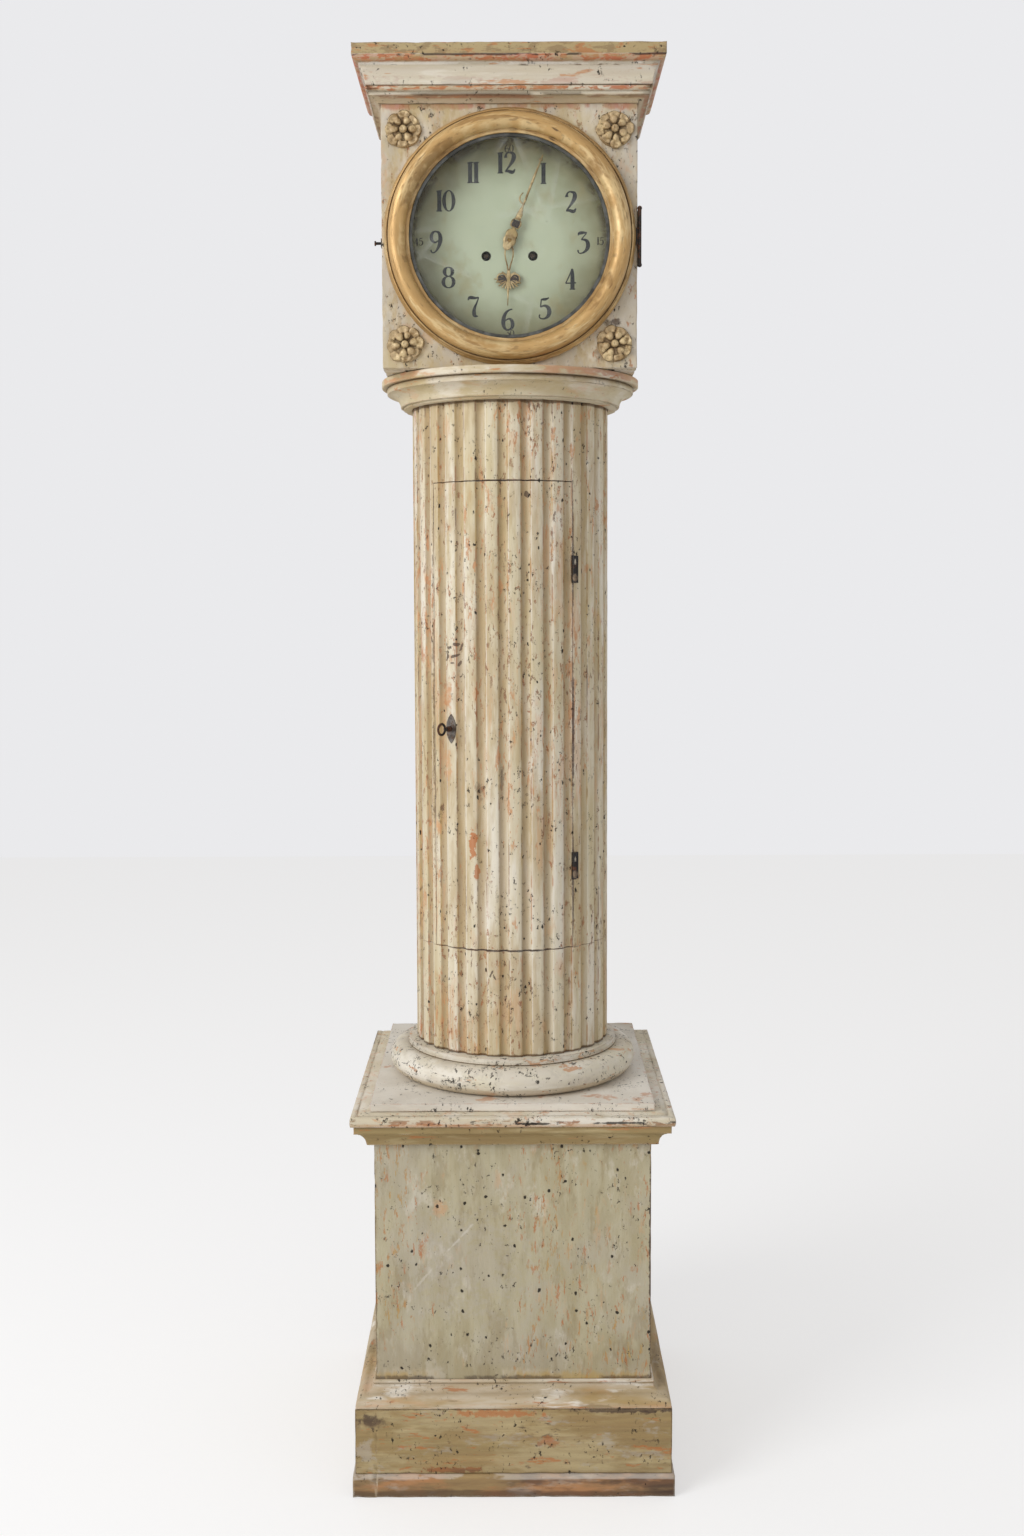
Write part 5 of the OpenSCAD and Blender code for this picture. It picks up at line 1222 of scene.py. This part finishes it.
def worn_copy(node, steps, seed, wear=1.0):
    """A CAD node's surface with its arrises nicked and its faces slightly uneven, never outside it."""
    s = sizes()
    bm = bmesh.new()
    bm.from_mesh(frame["nodes"][node].data)
    bmesh.ops.remove_doubles(bm, verts=bm.verts, dist=MERGED)
    bmesh.ops.dissolve_limit(bm, angle_limit=FLAT_ANGLE, verts=bm.verts, edges=bm.edges)
    divide(bm, *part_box(node), steps)
    bmesh.ops.remove_doubles(bm, verts=bm.verts, dist=MERGED)
    bm.normal_update()
    shift = Vector((seed * 3.1, seed * 1.7, seed * 2.3))
    moves = []
    for v in bm.verts:
        depth = wear * s.wobble * (0.5 + 0.5 * noise.noise(v.co * WAVES + shift))
        if any(e.is_manifold and e.calc_face_angle_signed(0) > ARRIS_ANGLE for e in v.link_edges):
            rough = noise.noise(v.co * NICKS + shift) + 0.5 * noise.noise(v.co * FINE_NICKS + shift)
            depth += wear * s.nick * max(0.0, rough - NICK_START) + ARRIS_ROUND
        moves.append((v, v.normal * -depth))
    for v, move in moves:
        v.co += move
    return piece_from(bm, node + "_worn", 34)


def lathe(profile, steps):
    """A closed outline of radius and height, turned round Z."""
    bm = bmesh.new()
    verts = [bm.verts.new((r, 0, h)) for r, h in profile]
    edges = [bm.edges.new(pair) for pair in zip(verts, verts[1:] + verts[:1])]
    bmesh.ops.spin(
        bm, geom=verts + edges, cent=(0, 0, 0), axis=(0, 0, 1), angle=math.tau, steps=steps, use_merge=True
    )
    bmesh.ops.remove_doubles(bm, verts=bm.verts, dist=1e-6)
    bmesh.ops.recalc_face_normals(bm, faces=bm.faces)
    return bm


def facing_front(x, y, z):
    """Takes what is drawn in x and y, or rises along Z, to a place at the front."""
    return Matrix.Translation((x, y, z)) @ Matrix.Rotation(math.pi / 2, 4, "X")


def hump(value, middle, width):
    return math.exp(-(((value - middle) / width) ** 2))


def carved_rosette(radius, rise, petals, seed):
    """A carved flower that rises along Z: flat outer petals, six inner bulbs and a button."""
    draw = random.Random(seed)
    front = [(0.0001 + radius * i / ROSETTE_RINGS, ROSETTE_EDGE) for i in range(ROSETTE_RINGS + 1)]
    bm = lathe(front + [(radius * 0.9, 0.0), (0.0001, 0.0)], ROSETTE_SIDES)
    outer = [(draw.uniform(-0.07, 0.07), draw.uniform(0.88, 1.02), draw.uniform(0.7, 1.15)) for _ in range(petals)]
    inner = [(draw.uniform(-0.12, 0.12), draw.uniform(0.84, 1.08)) for _ in range(BULBS)]
    turn = draw.uniform(0, math.tau)
    button = 0.19 * radius
    for v in bm.verts:
        if v.co.z < ROSETTE_EDGE / 2:
            continue
        r, a = math.hypot(v.co.x, v.co.y), math.atan2(v.co.y, v.co.x)
        share = r / radius
        place = ((a - turn) % math.tau) / (math.tau / petals)
        lean, reach, full = outer[int(place) % petals]
        beside = (place % 1.0 - 0.5) * 2 + lean
        lobe = reach * (1 - 0.17 * abs(beside) ** 2.6) * (0.985 + 0.02 * noise.noise(v.co * 300))
        petal = full * max(0.0, 1 - abs(beside) ** 7)
        dish = 0.14 * hump(beside, 0, 0.42) * hump(share, 0.76, 0.13)
        outward = min(1.0, max(0.0, (share - 0.54) / 0.08))
        height = 0.2 + (0.26 * petal - dish + 1.2 * lean * beside) * outward
        if share > 0.97:
            height *= 0.55
        for k, (shift, size) in enumerate(inner):
            b = turn + k * math.tau / BULBS + shift
            along = (v.co.x * math.cos(b) + v.co.y * math.sin(b)) / radius - 0.45
            aside = (v.co.y * math.cos(b) - v.co.x * math.sin(b)) / radius
            d = math.hypot(along / 0.25, aside / (0.2 + 0.22 * along)) / size
            if d < 1:
                height = max(height, 0.3 + 0.42 * size * math.sqrt(1 - d * d))
        if r < button:
            dimple = 0.16 * hump(r, 0, 0.35 * button)
            height = max(height, 0.55 + 0.45 * math.sqrt(1 - (r / button) ** 2) - dimple)
        height += 0.03 * noise.noise(v.co * 420)
        if share > 0.5:
            drawn_in = 1 + (min(1.0, lobe) - 1) * (share - 0.5) * 2
            v.co.x *= drawn_in
            v.co.y *= drawn_in
        v.co.z = max(0.0006, min(1.0, height) * rise)
    return bm


def strokes(name, paths, thickness, place):
    """Brush or wire strokes through points of x, y and half width, flattened to a thickness."""
    curve = bpy.data.curves.new(name, "CURVE")
    curve.dimensions = "3D"
    curve.bevel_depth = 1.0
    curve.bevel_resolution = 2
    curve.use_fill_caps = True
    curve.resolution_u = 5
    for points in paths:
        spline = curve.splines.new("NURBS")
        spline.points.add(len(points) - 1)
        for knot, (x, y, half) in zip(spline.points, points):
            knot.co = (x, y, 0, 1)
            knot.radius = half
        spline.use_endpoint_u = True
        spline.order_u = 3
    source = bpy.data.objects.new(name, curve)
    bpy.context.scene.collection.objects.link(source)
    bpy.context.view_layer.update()
    made = bpy.data.meshes.new_from_object(source.evaluated_get(bpy.context.evaluated_depsgraph_get()))
    bpy.data.objects.remove(source)
    bm = bmesh.new()
    bm.from_mesh(made)
    bpy.data.meshes.remove(made)
    widest = max(half for points in paths for _, _, half in points)
    squeeze = min(1.0, thickness / 2 / widest)
    bmesh.ops.transform(bm, matrix=place @ Matrix.Diagonal((1, 1, squeeze, 1)), verts=bm.verts)
    return bm


def bowl(x, y, wide, tall, thin=0.012, thick=0.062):
    """A closed loop of a digit, thick at its sides."""
    turn = [math.tau * i / 16 for i in range(17)]
    return [(x + wide * math.cos(t), y + tall * math.sin(t), thin + (thick - thin) * math.cos(t) ** 2) for t in turn]


# Digits in a box one high, as strokes of x, y and half width
DIGITS = {
    "0": [bowl(0.27, 0.5, 0.24, 0.5)],
    "1": [[(0.1, 0.99, 0.066), (0.1, 0.5, 0.066), (0.1, 0.01, 0.066)],
          [(-0.04, 0.95, 0.016), (0.1, 0.985, 0.018), (0.24, 0.985, 0.014)],
          [(-0.04, 0.015, 0.016), (0.1, 0.015, 0.016), (0.24, 0.015, 0.016)]],
    "2": [[(0.07, 0.74, 0.06), (0.06, 0.85, 0.03), (0.14, 0.99, 0.02), (0.3, 1.0, 0.025), (0.46, 0.93, 0.06),
           (0.47, 0.72, 0.075), (0.36, 0.5, 0.05), (0.18, 0.25, 0.022), (0.04, 0.07, 0.018)],
          [(0.04, 0.07, 0.02), (0.16, 0.12, 0.04), (0.34, 0.04, 0.06), (0.46, 0.06, 0.045), (0.52, 0.2, 0.012)]],
    "3": [[(0.04, 0.82, 0.012), (0.06, 0.93, 0.045), (0.2, 0.95, 0.055), (0.42, 0.96, 0.02), (0.46, 0.95, 0.014),
           (0.3, 0.76, 0.014), (0.18, 0.62, 0.014)],
          [(0.18, 0.62, 0.016), (0.36, 0.64, 0.035), (0.52, 0.5, 0.065), (0.52, 0.22, 0.07), (0.36, 0.02, 0.03),
           (0.14, -0.06, 0.016), (0.03, 0.0, 0.014), (0.03, 0.12, 0.028)]],
    "4": [[(0.34, 1.0, 0.03), (0.36, 0.8, 0.06), (0.36, 0.4, 0.068), (0.36, 0.02, 0.066)],
          [(0.34, 1.0, 0.02), (0.2, 0.62, 0.016), (0.02, 0.3, 0.014)],
          [(0.02, 0.3, 0.02), (0.25, 0.3, 0.016), (0.54, 0.32, 0.018)],
          [(0.22, 0.015, 0.016), (0.36, 0.015, 0.018), (0.5, 0.015, 0.016)]],
    "5": [[(0.1, 0.93, 0.016), (0.25, 0.93, 0.05), (0.4, 0.95, 0.03), (0.5, 1.02, 0.012)],
          [(0.12, 0.95, 0.016), (0.1, 0.75, 0.016), (0.08, 0.56, 0.018)],
          [(0.08, 0.56, 0.02), (0.24, 0.66, 0.03), (0.46, 0.56, 0.06), (0.53, 0.34, 0.075), (0.46, 0.1, 0.055),
           (0.26, -0.02, 0.022), (0.06, 0.0, 0.016), (0.0, 0.12, 0.02), (0.05, 0.2, 0.02)]],
    "6": [[(0.48, 1.0, 0.014), (0.3, 0.97, 0.022), (0.1, 0.76, 0.05), (0.02, 0.45, 0.07), (0.04, 0.15, 0.06),
           (0.16, 0.0, 0.025), (0.3, -0.02, 0.02), (0.46, 0.08, 0.045), (0.5, 0.28, 0.065), (0.44, 0.48, 0.045),
           (0.28, 0.56, 0.02), (0.1, 0.42, 0.016)]],
    "7": [[(0.0, 0.8, 0.012), (0.03, 0.94, 0.05), (0.2, 0.93, 0.055), (0.4, 0.9, 0.03), (0.53, 0.97, 0.014),
           (0.44, 0.7, 0.02), (0.3, 0.42, 0.045), (0.28, 0.15, 0.068), (0.34, 0.01, 0.05), (0.48, 0.03, 0.012)]],
    "8": [bowl(0.28, 0.78, 0.2, 0.22), bowl(0.28, 0.28, 0.26, 0.28)],
    "9": [[(0.42, 0.58, 0.016), (0.26, 0.42, 0.02), (0.08, 0.52, 0.045), (0.02, 0.72, 0.06), (0.1, 0.95, 0.035),
           (0.26, 1.0, 0.02), (0.42, 0.94, 0.045), (0.5, 0.7, 0.07), (0.46, 0.38, 0.06), (0.3, 0.06, 0.025),
           (0.14, -0.06, 0.016), (0.02, 0.0, 0.016), (0.02, 0.1, 0.02)]],
}
DIGIT_STEP = {"1": 0.3}
DIGIT_WIDTH = 0.54
DIGIT_GAP = 0.08

# The brush draws every half width wider by a factor, and never thinner than its tip
BRUSH_WIDER = 1.4
BRUSH_LEAST = 0.009

# Angle from the top in degrees, and share of the numeral radius, of each hour by hand
HOURS = {
    1: (27.2, 1.0), 2: (58.1, 0.97), 3: (90.8, 0.985), 4: (121.4, 0.96), 5: (152.2, 1.0), 6: (181.2, 1.03),
    7: (209.5, 0.985), 8: (240.1, 0.95), 9: (270.0, 0.985), 10: (302.1, 1.005), 11: (331.9, 1.025), 12: (358.2, 1.03),
}


def number_paths(text, tall, x, z):
    """The strokes of a number centred at x, z."""
    steps = [DIGIT_STEP.get(digit, DIGIT_WIDTH + DIGIT_GAP) for digit in text]
    wide = sum(steps) - (0.1 if text[-1] == "1" else DIGIT_GAP)
    left = -wide / 2
    paths = []
    for digit, step in zip(text, steps):
        for stroke in DIGITS[digit]:
            paths.append([
                (x + (left + a) * tall, z + (b - 0.5) * tall, (half * BRUSH_WIDER + BRUSH_LEAST) * tall)
                for a, b, half in stroke
            ])
        left += step
    return paths


def circle_path(x, y, r, half, start=0, sweep=360, count=12):
    turn = [math.radians(start + sweep * i / count) for i in range(count + 1)]
    return [(x + r * math.cos(t), y + r * math.sin(t), half) for t in turn]


def minute_paths():
    """The minute hand along +Y in millimetres: lobed root, knot, scaly leaf, open scroll, blade and arrow."""
    paths = [
        [(0, -15, 2), (0, -12.5, 6.2), (0, -7, 7.2), (0, -3.4, 6.8)],
        [(-6.6, -2.4, 1.6), (0, -3.4, 1.9), (6.6, -2.4, 1.6)],
        [(-7.6, 1.6, 1.6), (0, 0.4, 1.9), (7.6, 1.6, 1.6)],
        [(0, 2.4, 8.2), (0, 8, 9.2), (0, 13, 8.2), (0, 17, 3.0), (0, 19, 1.6)],
        circle_path(-2.6, 23, 4.2, 1.1),
        circle_path(3.2, 25.5, 3.8, 1.1),
        circle_path(0.2, 25, 7.4, 0.9),
        [(0, 31, 3.4), (0.4, 36, 4.6), (0.3, 42, 3.8), (0, 50, 1.6), (0, 54, 1.2)],
        [(-1, 55, 1.1), (-5, 55.5, 1.2), (-8.6, 60, 1.1), (-8.4, 66, 0.9), (-6.4, 70, 0.7)],
        [(0, 50, 1.3), (0.4, 58, 1.7), (0, 80, 1.6), (0, 96, 2.0), (0, 108, 1.3), (0, 124, 1.0)],
        [(-3, 121.5, 0.6), (0, 124, 2.2), (3, 121.5, 0.6)],
        [(0, 121, 1.4), (0, 126, 1.8), (0, 131, 0.4)],
    ]
    for k in range(5):
        y, wide = 33 + 3.6 * k, 4.6 - 0.7 * k
        paths.append([(-wide, y, 0.5), (0.2, y + 1.8, 0.9), (wide, y, 0.5)])
    return paths


def hour_paths():
    """The hour hand along +Y in millimetres: teardrop loop, pierced scrolls with leaves, and point."""
    paths = []
    for side in (-1, 1):
        paths.append([
            (side * 3.6, 8, 1.4), (side * 5.6, 13, 1.2), (side * 6.2, 19, 1.0), (side * 4.8, 27, 1.0),
            (side * 2.4, 35, 1.0), (side * 0.9, 42, 1.2), (side * 0.6, 48, 1.4),
        ])
        paths.append(circle_path(side * 9.8, 54, 6.9, 1.1))
        paths.append(circle_path(side * 9.4, 54.5, 3.2, 1.0, 0, 300, 9))
        paths.append([(side * 2, 50, 0.9), (side * 6, 46, 0.9), (side * 10, 45.4, 1.2)])
        for x, y in ((4, 69), (9, 67.5), (14, 65), (18, 60)):
            paths.append([(side * 2, 55, 0.9), (side * x * 0.6, 54 + (y - 54) * 0.7, 1.5), (side * x, y, 0.9)])
    paths.append([(6, 53, 0.9), (14, 55, 1.2), (21, 55.6, 0.7)])
    paths.append([(0, 42, 2.0), (0, 52, 3.4), (0, 60, 2.4), (0, 72, 1.3), (0, 93, 0.5)])
    return paths


# Sheets of painted shadow behind the pierced work of each hand, in millimetres
HAND_SHADOW_SHEETS = {
    "minute_hand": [[(0, 20, 5.5), (0.2, 25, 7.2), (0, 30, 5.0)]],
    "hour_hand": [
        [(-15, 54, 5), (-9, 54.5, 6.5), (0, 56, 6), (9, 55, 6.5), (15, 56, 5)],
        [(0, 58, 6), (0, 64, 5)],
    ],
}


def hand_depth(node):
    """The middle of a hand's thin blade, in Y."""
    low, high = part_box(node)
    return low.y + MINUTE_BLADE if node == "minute_hand" else (low.y + high.y) / 2


def hand_boss(node):
    """The turned boss of a hand, with its middle hollowed for the arbor."""
    wide = 0.0088 if node == "minute_hand" else 0.0094
    outline = [(ARBOR_HOLE, -0.0006), (wide, -0.0006), (wide, 0.0006), (wide - 0.0014, 0.0012)]
    outline += [(wide - 0.0026, 0.0013), (wide - 0.003, 0.0009), (ARBOR_HOLE, 0.0011)]
    bm = lathe(outline, 48)
    bmesh.ops.transform(bm, matrix=facing_front(DIAL.x, hand_depth(node), DIAL.z), verts=bm.verts)
    return bm


def gut_line(node):
    """The two falls of a weight's line, twisted of its strands."""
    low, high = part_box(node)
    half = (high.y - low.y) / 2
    middle = (low + high) / 2
    falls = (low.x + half, high.x - half)
    bm = bmesh.new()
    for x in falls:
        place = Matrix.Translation((x, middle.y, middle.z))
        bmesh.ops.create_cone(
            bm, cap_ends=True, segments=LINE_SIDES, radius1=half, radius2=half, depth=high.z - low.z, matrix=place
        )
    uprights = [e for e in bm.edges if abs(e.verts[0].co.z - e.verts[1].co.z) > half]
    bmesh.ops.subdivide_edges(bm, edges=uprights, cuts=LINE_ROWS - 1)
    for v in bm.verts:
        x = min(falls, key=lambda fall: abs(v.co.x - fall))
        a = math.atan2(v.co.y - middle.y, v.co.x - x)
        r = half * (0.84 + 0.15 * abs(math.cos(LINE_STRANDS / 2 * a - v.co.z * LINE_TWIST)))
        v.co.x, v.co.y = x + r * math.cos(a), middle.y + r * math.sin(a)
    return bm


# Steps of the work, each a group of like pieces


class CLOCK_OT_painted_wood(bpy.types.Operator):
    """Puts worn copies of the painted boards, mouldings and column in place of the plain ones"""

    bl_idname = "clock.painted_wood"
    bl_label = "Painted wood"

    def execute(self, context):
        fine, wide = sizes().fluted_grid, sizes().grid
        looks = paint_looks()
        made = {}
        for number, (node, finish) in enumerate(PAINTED.items()):
            if finish not in made:
                made[finish] = old_paint("paint_" + finish, looks[finish])
            steps = {"column": (0, 0, fine), "torus": (0, 0, 0), "capital": (0, 0, 0)}.get(finish, (wide, wide, wide))
            piece = worn_copy(node, steps, number + 1, COLUMN_WEAR if finish == "column" else 1.0)
            dress(piece, body_with(node), made[finish], (node,), slot_of(node))
        return {"FINISHED"}


class CLOCK_OT_bare_wood(bpy.types.Operator):
    """Finishes the back boards, the seat and the hidden boards as old pine"""

    bl_idname = "clock.bare_wood"
    bl_label = "Bare wood"

    def execute(self, context):
        upright = bare_wood("pine_upright", colours().pine, linear("6a4a2c"), (1, 1, 0.08))
        level = bare_wood("pine_level", colours().pine, linear("6a4a2c"), (0.08, 1, 1))
        for node in RAW_WOOD:
            cover(node, upright if node in ("pedestal_back", "backboard") else level)
        return {"FINISHED"}


class CLOCK_OT_rosettes(bpy.types.Operator):
    """Carves the four rosettes at the corners of the hood"""

    bl_idname = "clock.rosettes"
    bl_label = "Rosettes"

    def execute(self, context):
        s = sizes()
        low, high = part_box("rosettes")
        x = high.x - s.rosette_radius - ROSETTE_GAP
        rise = (high.z - low.z) / 2 - s.rosette_radius - ROSETTE_GAP
        gilt = gilding("rosette_gilt", colours().rosette, linear("86683c"), 0.3, 0.08)
        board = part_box("hood_front")[0].y
        for number, name in enumerate(("lower_left", "lower_right", "upper_left", "upper_right")):
            bm = carved_rosette(s.rosette_radius, s.rosette_rise, s.petals, number + 5)
            place = facing_front(x if number % 2 else -x, board, DIAL.z + (rise if number > 1 else -rise))
            bmesh.ops.transform(bm, matrix=place, verts=bm.verts)
            piece = piece_from(bm, "rosette_" + name, 60)
            dress(piece, body_with("rosettes"), gilt, () if number else ("rosettes",), slot_of("rosettes"))
        return {"FINISHED"}


class CLOCK_OT_bezel(bpy.types.Operator):
    """Makes a worn copy of the gilded bezel ring, with its uneven old surface, and finishes its sight ring and glass
    """

    bl_idname = "clock.bezel"
    bl_label = "Bezel"

    def execute(self, context):
        gilt = gilding("bezel_gilt", colours().gilt, colours().gilt_worn, 0.3, 0.34, True)
        piece = worn_copy("bezel_ring", (0, 0, 0), 31)
        dress(piece, body_with("bezel_ring"), gilt, ("bezel_ring",), slot_of("bezel_ring"))
        cover("sight_ring", metal("sight_steel", linear("62635f"), linear("35342f"), 0.3, 0.45))
        cover("bezel_glass", old_glass())
        return {"FINISHED"}


class CLOCK_OT_dial(bpy.types.Operator):
    """Paints the dial and draws its numerals"""

    bl_idname = "clock.dial"
    bl_label = "Dial"

    def execute(self, context):
        s = sizes()
        cover("dial", dial_paint())
        hours = [(str(hour), turn, s.numeral_radius * share) for hour, (turn, share) in HOURS.items()]
        minutes = [(text, 90 * quarter, s.minute_radius) for quarter, text in enumerate(("60", "15", "30", "45"))]
        black = ink("numeral_ink", 160.0, 0.3, 0.3, colours().ink, linear("4b4c3c"))
        faded = ink("faded_ink", 220.0, 0.5, 0.5, linear("1c1a16"), linear("544e38"))
        for name, numbers, tall, thick, paint in (
            ("hour_numerals", hours, s.numeral_height, HOUR_PAINT, black),
            ("minute_numerals", minutes, s.minute_height, MINUTE_PAINT, faded),
        ):
            paths = []
            for text, turn, r in numbers:
                a = math.radians(turn)
                paths += number_paths(text, tall, r * math.sin(a), DIAL.z + r * math.cos(a))
            piece = piece_from(strokes(name, paths, thick, facing_front(0, DIAL_FACE, 0)), name)
            dress(piece, body_with("dial"), paint, (), slot_of("dial"))
        return {"FINISHED"}


class CLOCK_OT_hands(bpy.types.Operator):
    """Saws and chases the pierced minute and hour hands, with sheets of painted shadow behind their pierced work"""

    bl_idname = "clock.hands"
    bl_label = "Hands"

    def execute(self, context):
        gilt = gilding("hand_gilt", colours().hand_gilt, linear("7a5f34"), 0.3, 0.15)
        # Sheets of painted shadow behind the pierced work
        dark = metal("hand_shadow", linear("3d2f24"), linear("241b16"), 0.1, 0.6)
        for node, paths, turn in (
            ("minute_hand", minute_paths(), MINUTE_TURN),
            ("hour_hand", hour_paths(), HOUR_TURN),
        ):
            upright = facing_front(DIAL.x, hand_depth(node), DIAL.z)
            place = upright @ Matrix.Rotation(-math.radians(turn), 4, "Z")
            for part, drawn, thick, finish, over in (
                ("_pierced", paths, HAND_THICK, gilt, (node,)),
                ("_gaps", HAND_SHADOW_SHEETS[node], SHADOW_SHEET_THICK, dark, ()),
            ):
                drawn = [[tuple(value * MM for value in knot) for knot in stroke] for stroke in drawn]
                piece = piece_from(strokes(node, drawn, thick, place), node + part, 50)
                dress(piece, body_with(node), finish, over, slot_of(node))
            dress(piece_from(hand_boss(node), node + "_boss"), body_with(node), gilt, (), slot_of(node))
        return {"FINISHED"}


class CLOCK_OT_ironwork(bpy.types.Operator):
    """Finishes the hinges, latch, key and escutcheon"""

    bl_idname = "clock.ironwork"
    bl_label = "Ironwork"

    def execute(self, context):
        black = metal("black_iron", colours().iron, linear("191513"), 0.5, 0.42, linear("5f3a24"))
        for node in DARK_IRON:
            cover(node, hinge_iron() if node == "shaft_hinges" else black)
        cover("escutcheon", metal("grey_iron", linear("8a837b"), linear("3b3430"), 0.6, 0.38, linear("5b4636")))
        return {"FINISHED"}


class CLOCK_OT_movement(bpy.types.Operator):
    """Finishes the brass, steel and iron of the movement, pendulum, bell and weights, and twists the lines"""

    bl_idname = "clock.movement"
    bl_label = "Movement"

    def execute(self, context):
        brass = metal("old_brass", colours().brass, linear("6d5228"), 0.9, 0.3)
        steel = metal("turned_steel", colours().steel, linear("46413c"), 0.85, 0.32)
        dull = metal("dull_brass", linear("4a3a22"), linear("20180f"), 0.6, 0.5)
        for node in BRASS:
            cover(node, dull if "barrel" in node else brass)
        for node in STEEL:
            cover(node, steel)
        cover("pendulum_bob", brass)
        cover("bell", metal("bell_metal", linear("a58f62"), linear("65502e"), 0.9, 0.28))
        iron = metal("weight_iron", linear("5e5850"), linear("3a332c"), 0.5, 0.5, linear("5a3c28"))
        gut = bare_wood("gut_line", linear("b59762"), linear("8a6a3c"), (1, 1, 3))
        for side in ("going", "strike"):
            cover(side + "_weight", iron)
            node = side + "_line"
            cover(node, gut)
            piece = piece_from(gut_line(node), node + "_twisted", 60)
            dress(piece, body_with(node), gut, (node,), slot_of(node))
            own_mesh(piece)
        return {"FINISHED"}


class CLOCK_OT_stage(bpy.types.Operator):
    """Sets up the floor, the lights, the world and the camera"""

    bl_idname = "clock.stage"
    bl_label = "Stage"

    def execute(self, context):
        scene = bpy.context.scene
        scene.view_settings.view_transform = "Standard"
        bm = bmesh.new()
        bmesh.ops.create_grid(bm, x_segments=4, y_segments=4, size=FLOOR_REACH)
        floor = piece_from(bm, "floor")
        floor.data.materials.append(pale_floor())
        scene.world = pale_world()
        for name, (place, aim, size, power) in LAMPS.items():
            area_light(name, place, aim, size, power)
        camera = bpy.data.cameras.new("camera")
        camera.sensor_fit = "AUTO"
        camera.sensor_width = 36
        camera.lens = LENS
        camera.shift_y = PRINCIPAL_SHIFT
        holder = bpy.data.objects.new("camera", camera)
        scene.collection.objects.link(holder)
        tilt = Matrix.Rotation(math.radians(90 + CAMERA_PITCH), 4, "X")
        roll = Matrix.Rotation(math.radians(CAMERA_ROLL), 4, "Z")
        holder.matrix_world = Matrix.Translation(CAMERA_PLACE) @ tilt @ roll
        scene.camera = holder
        return {"FINISHED"}


def pale_world():
    """An even world, brighter to the camera and in reflections than on the object."""
    world = bpy.data.worlds.new("studio")
    world.use_nodes = True
    tree = world.node_tree
    tree.nodes.clear()
    rays = add(tree, "ShaderNodeLightPath").outputs
    mirrored = maths(tree, "MAXIMUM", rays["Is Glossy Ray"], rays["Is Transmission Ray"])
    shown = maths(tree, "MAXIMUM", rays["Is Camera Ray"], mirrored)
    strength = weighed(tree, shown, BACKDROP - SKY, SKY)
    ground = add(tree, "ShaderNodeBackground", {"Color": (0.98, 0.98, 1.0), "Strength": strength})
    add(tree, "ShaderNodeOutputWorld", {"Surface": ground.outputs[0]})
    return world


def area_light(name, place, aim, size, power):
    light = bpy.data.lights.new(name, "AREA")
    light.shape = "RECTANGLE"
    light.size, light.size_y = size
    light.energy = power
    lamp = bpy.data.objects.new(name, light)
    lamp.location = place
    lamp.rotation_euler = (Vector(aim) - Vector(place)).to_track_quat("-Z", "Y").to_euler()
    bpy.context.scene.collection.objects.link(lamp)


class CLOCK_PT_panel(bpy.types.Panel):
    """Lists the steps and the colours of the clock"""

    bl_label = "Tall case clock"
    bl_space_type = "VIEW_3D"
    bl_region_type = "UI"
    bl_category = "Clock"

    def draw(self, context):
        for step in STEPS:
            self.layout.operator(step.bl_idname)
        for settings in (context.scene.clock_sizes, context.scene.clock_colours):
            box = self.layout.box()
            for key in settings.__annotations__:
                box.prop(settings, key)


STEPS = (
    CLOCK_OT_painted_wood,
    CLOCK_OT_bare_wood,
    CLOCK_OT_rosettes,
    CLOCK_OT_bezel,
    CLOCK_OT_dial,
    CLOCK_OT_hands,
    CLOCK_OT_ironwork,
    CLOCK_OT_movement,
    CLOCK_OT_stage,
)
CLASSES = (ClockColours, ClockSizes, *STEPS, CLOCK_PT_panel)


def register():
    for kind in CLASSES:
        bpy.utils.register_class(kind)
    bpy.types.Scene.clock_colours = PointerProperty(type=ClockColours)
    bpy.types.Scene.clock_sizes = PointerProperty(type=ClockSizes)


def unregister():
    del bpy.types.Scene.clock_sizes
    del bpy.types.Scene.clock_colours
    for kind in reversed(CLASSES):
        bpy.utils.unregister_class(kind)


def main():
    register()
    for step in STEPS:
        family, name = step.bl_idname.split(".")
        getattr(getattr(bpy.ops, family), name)()


if __name__ == "__main__":
    main()
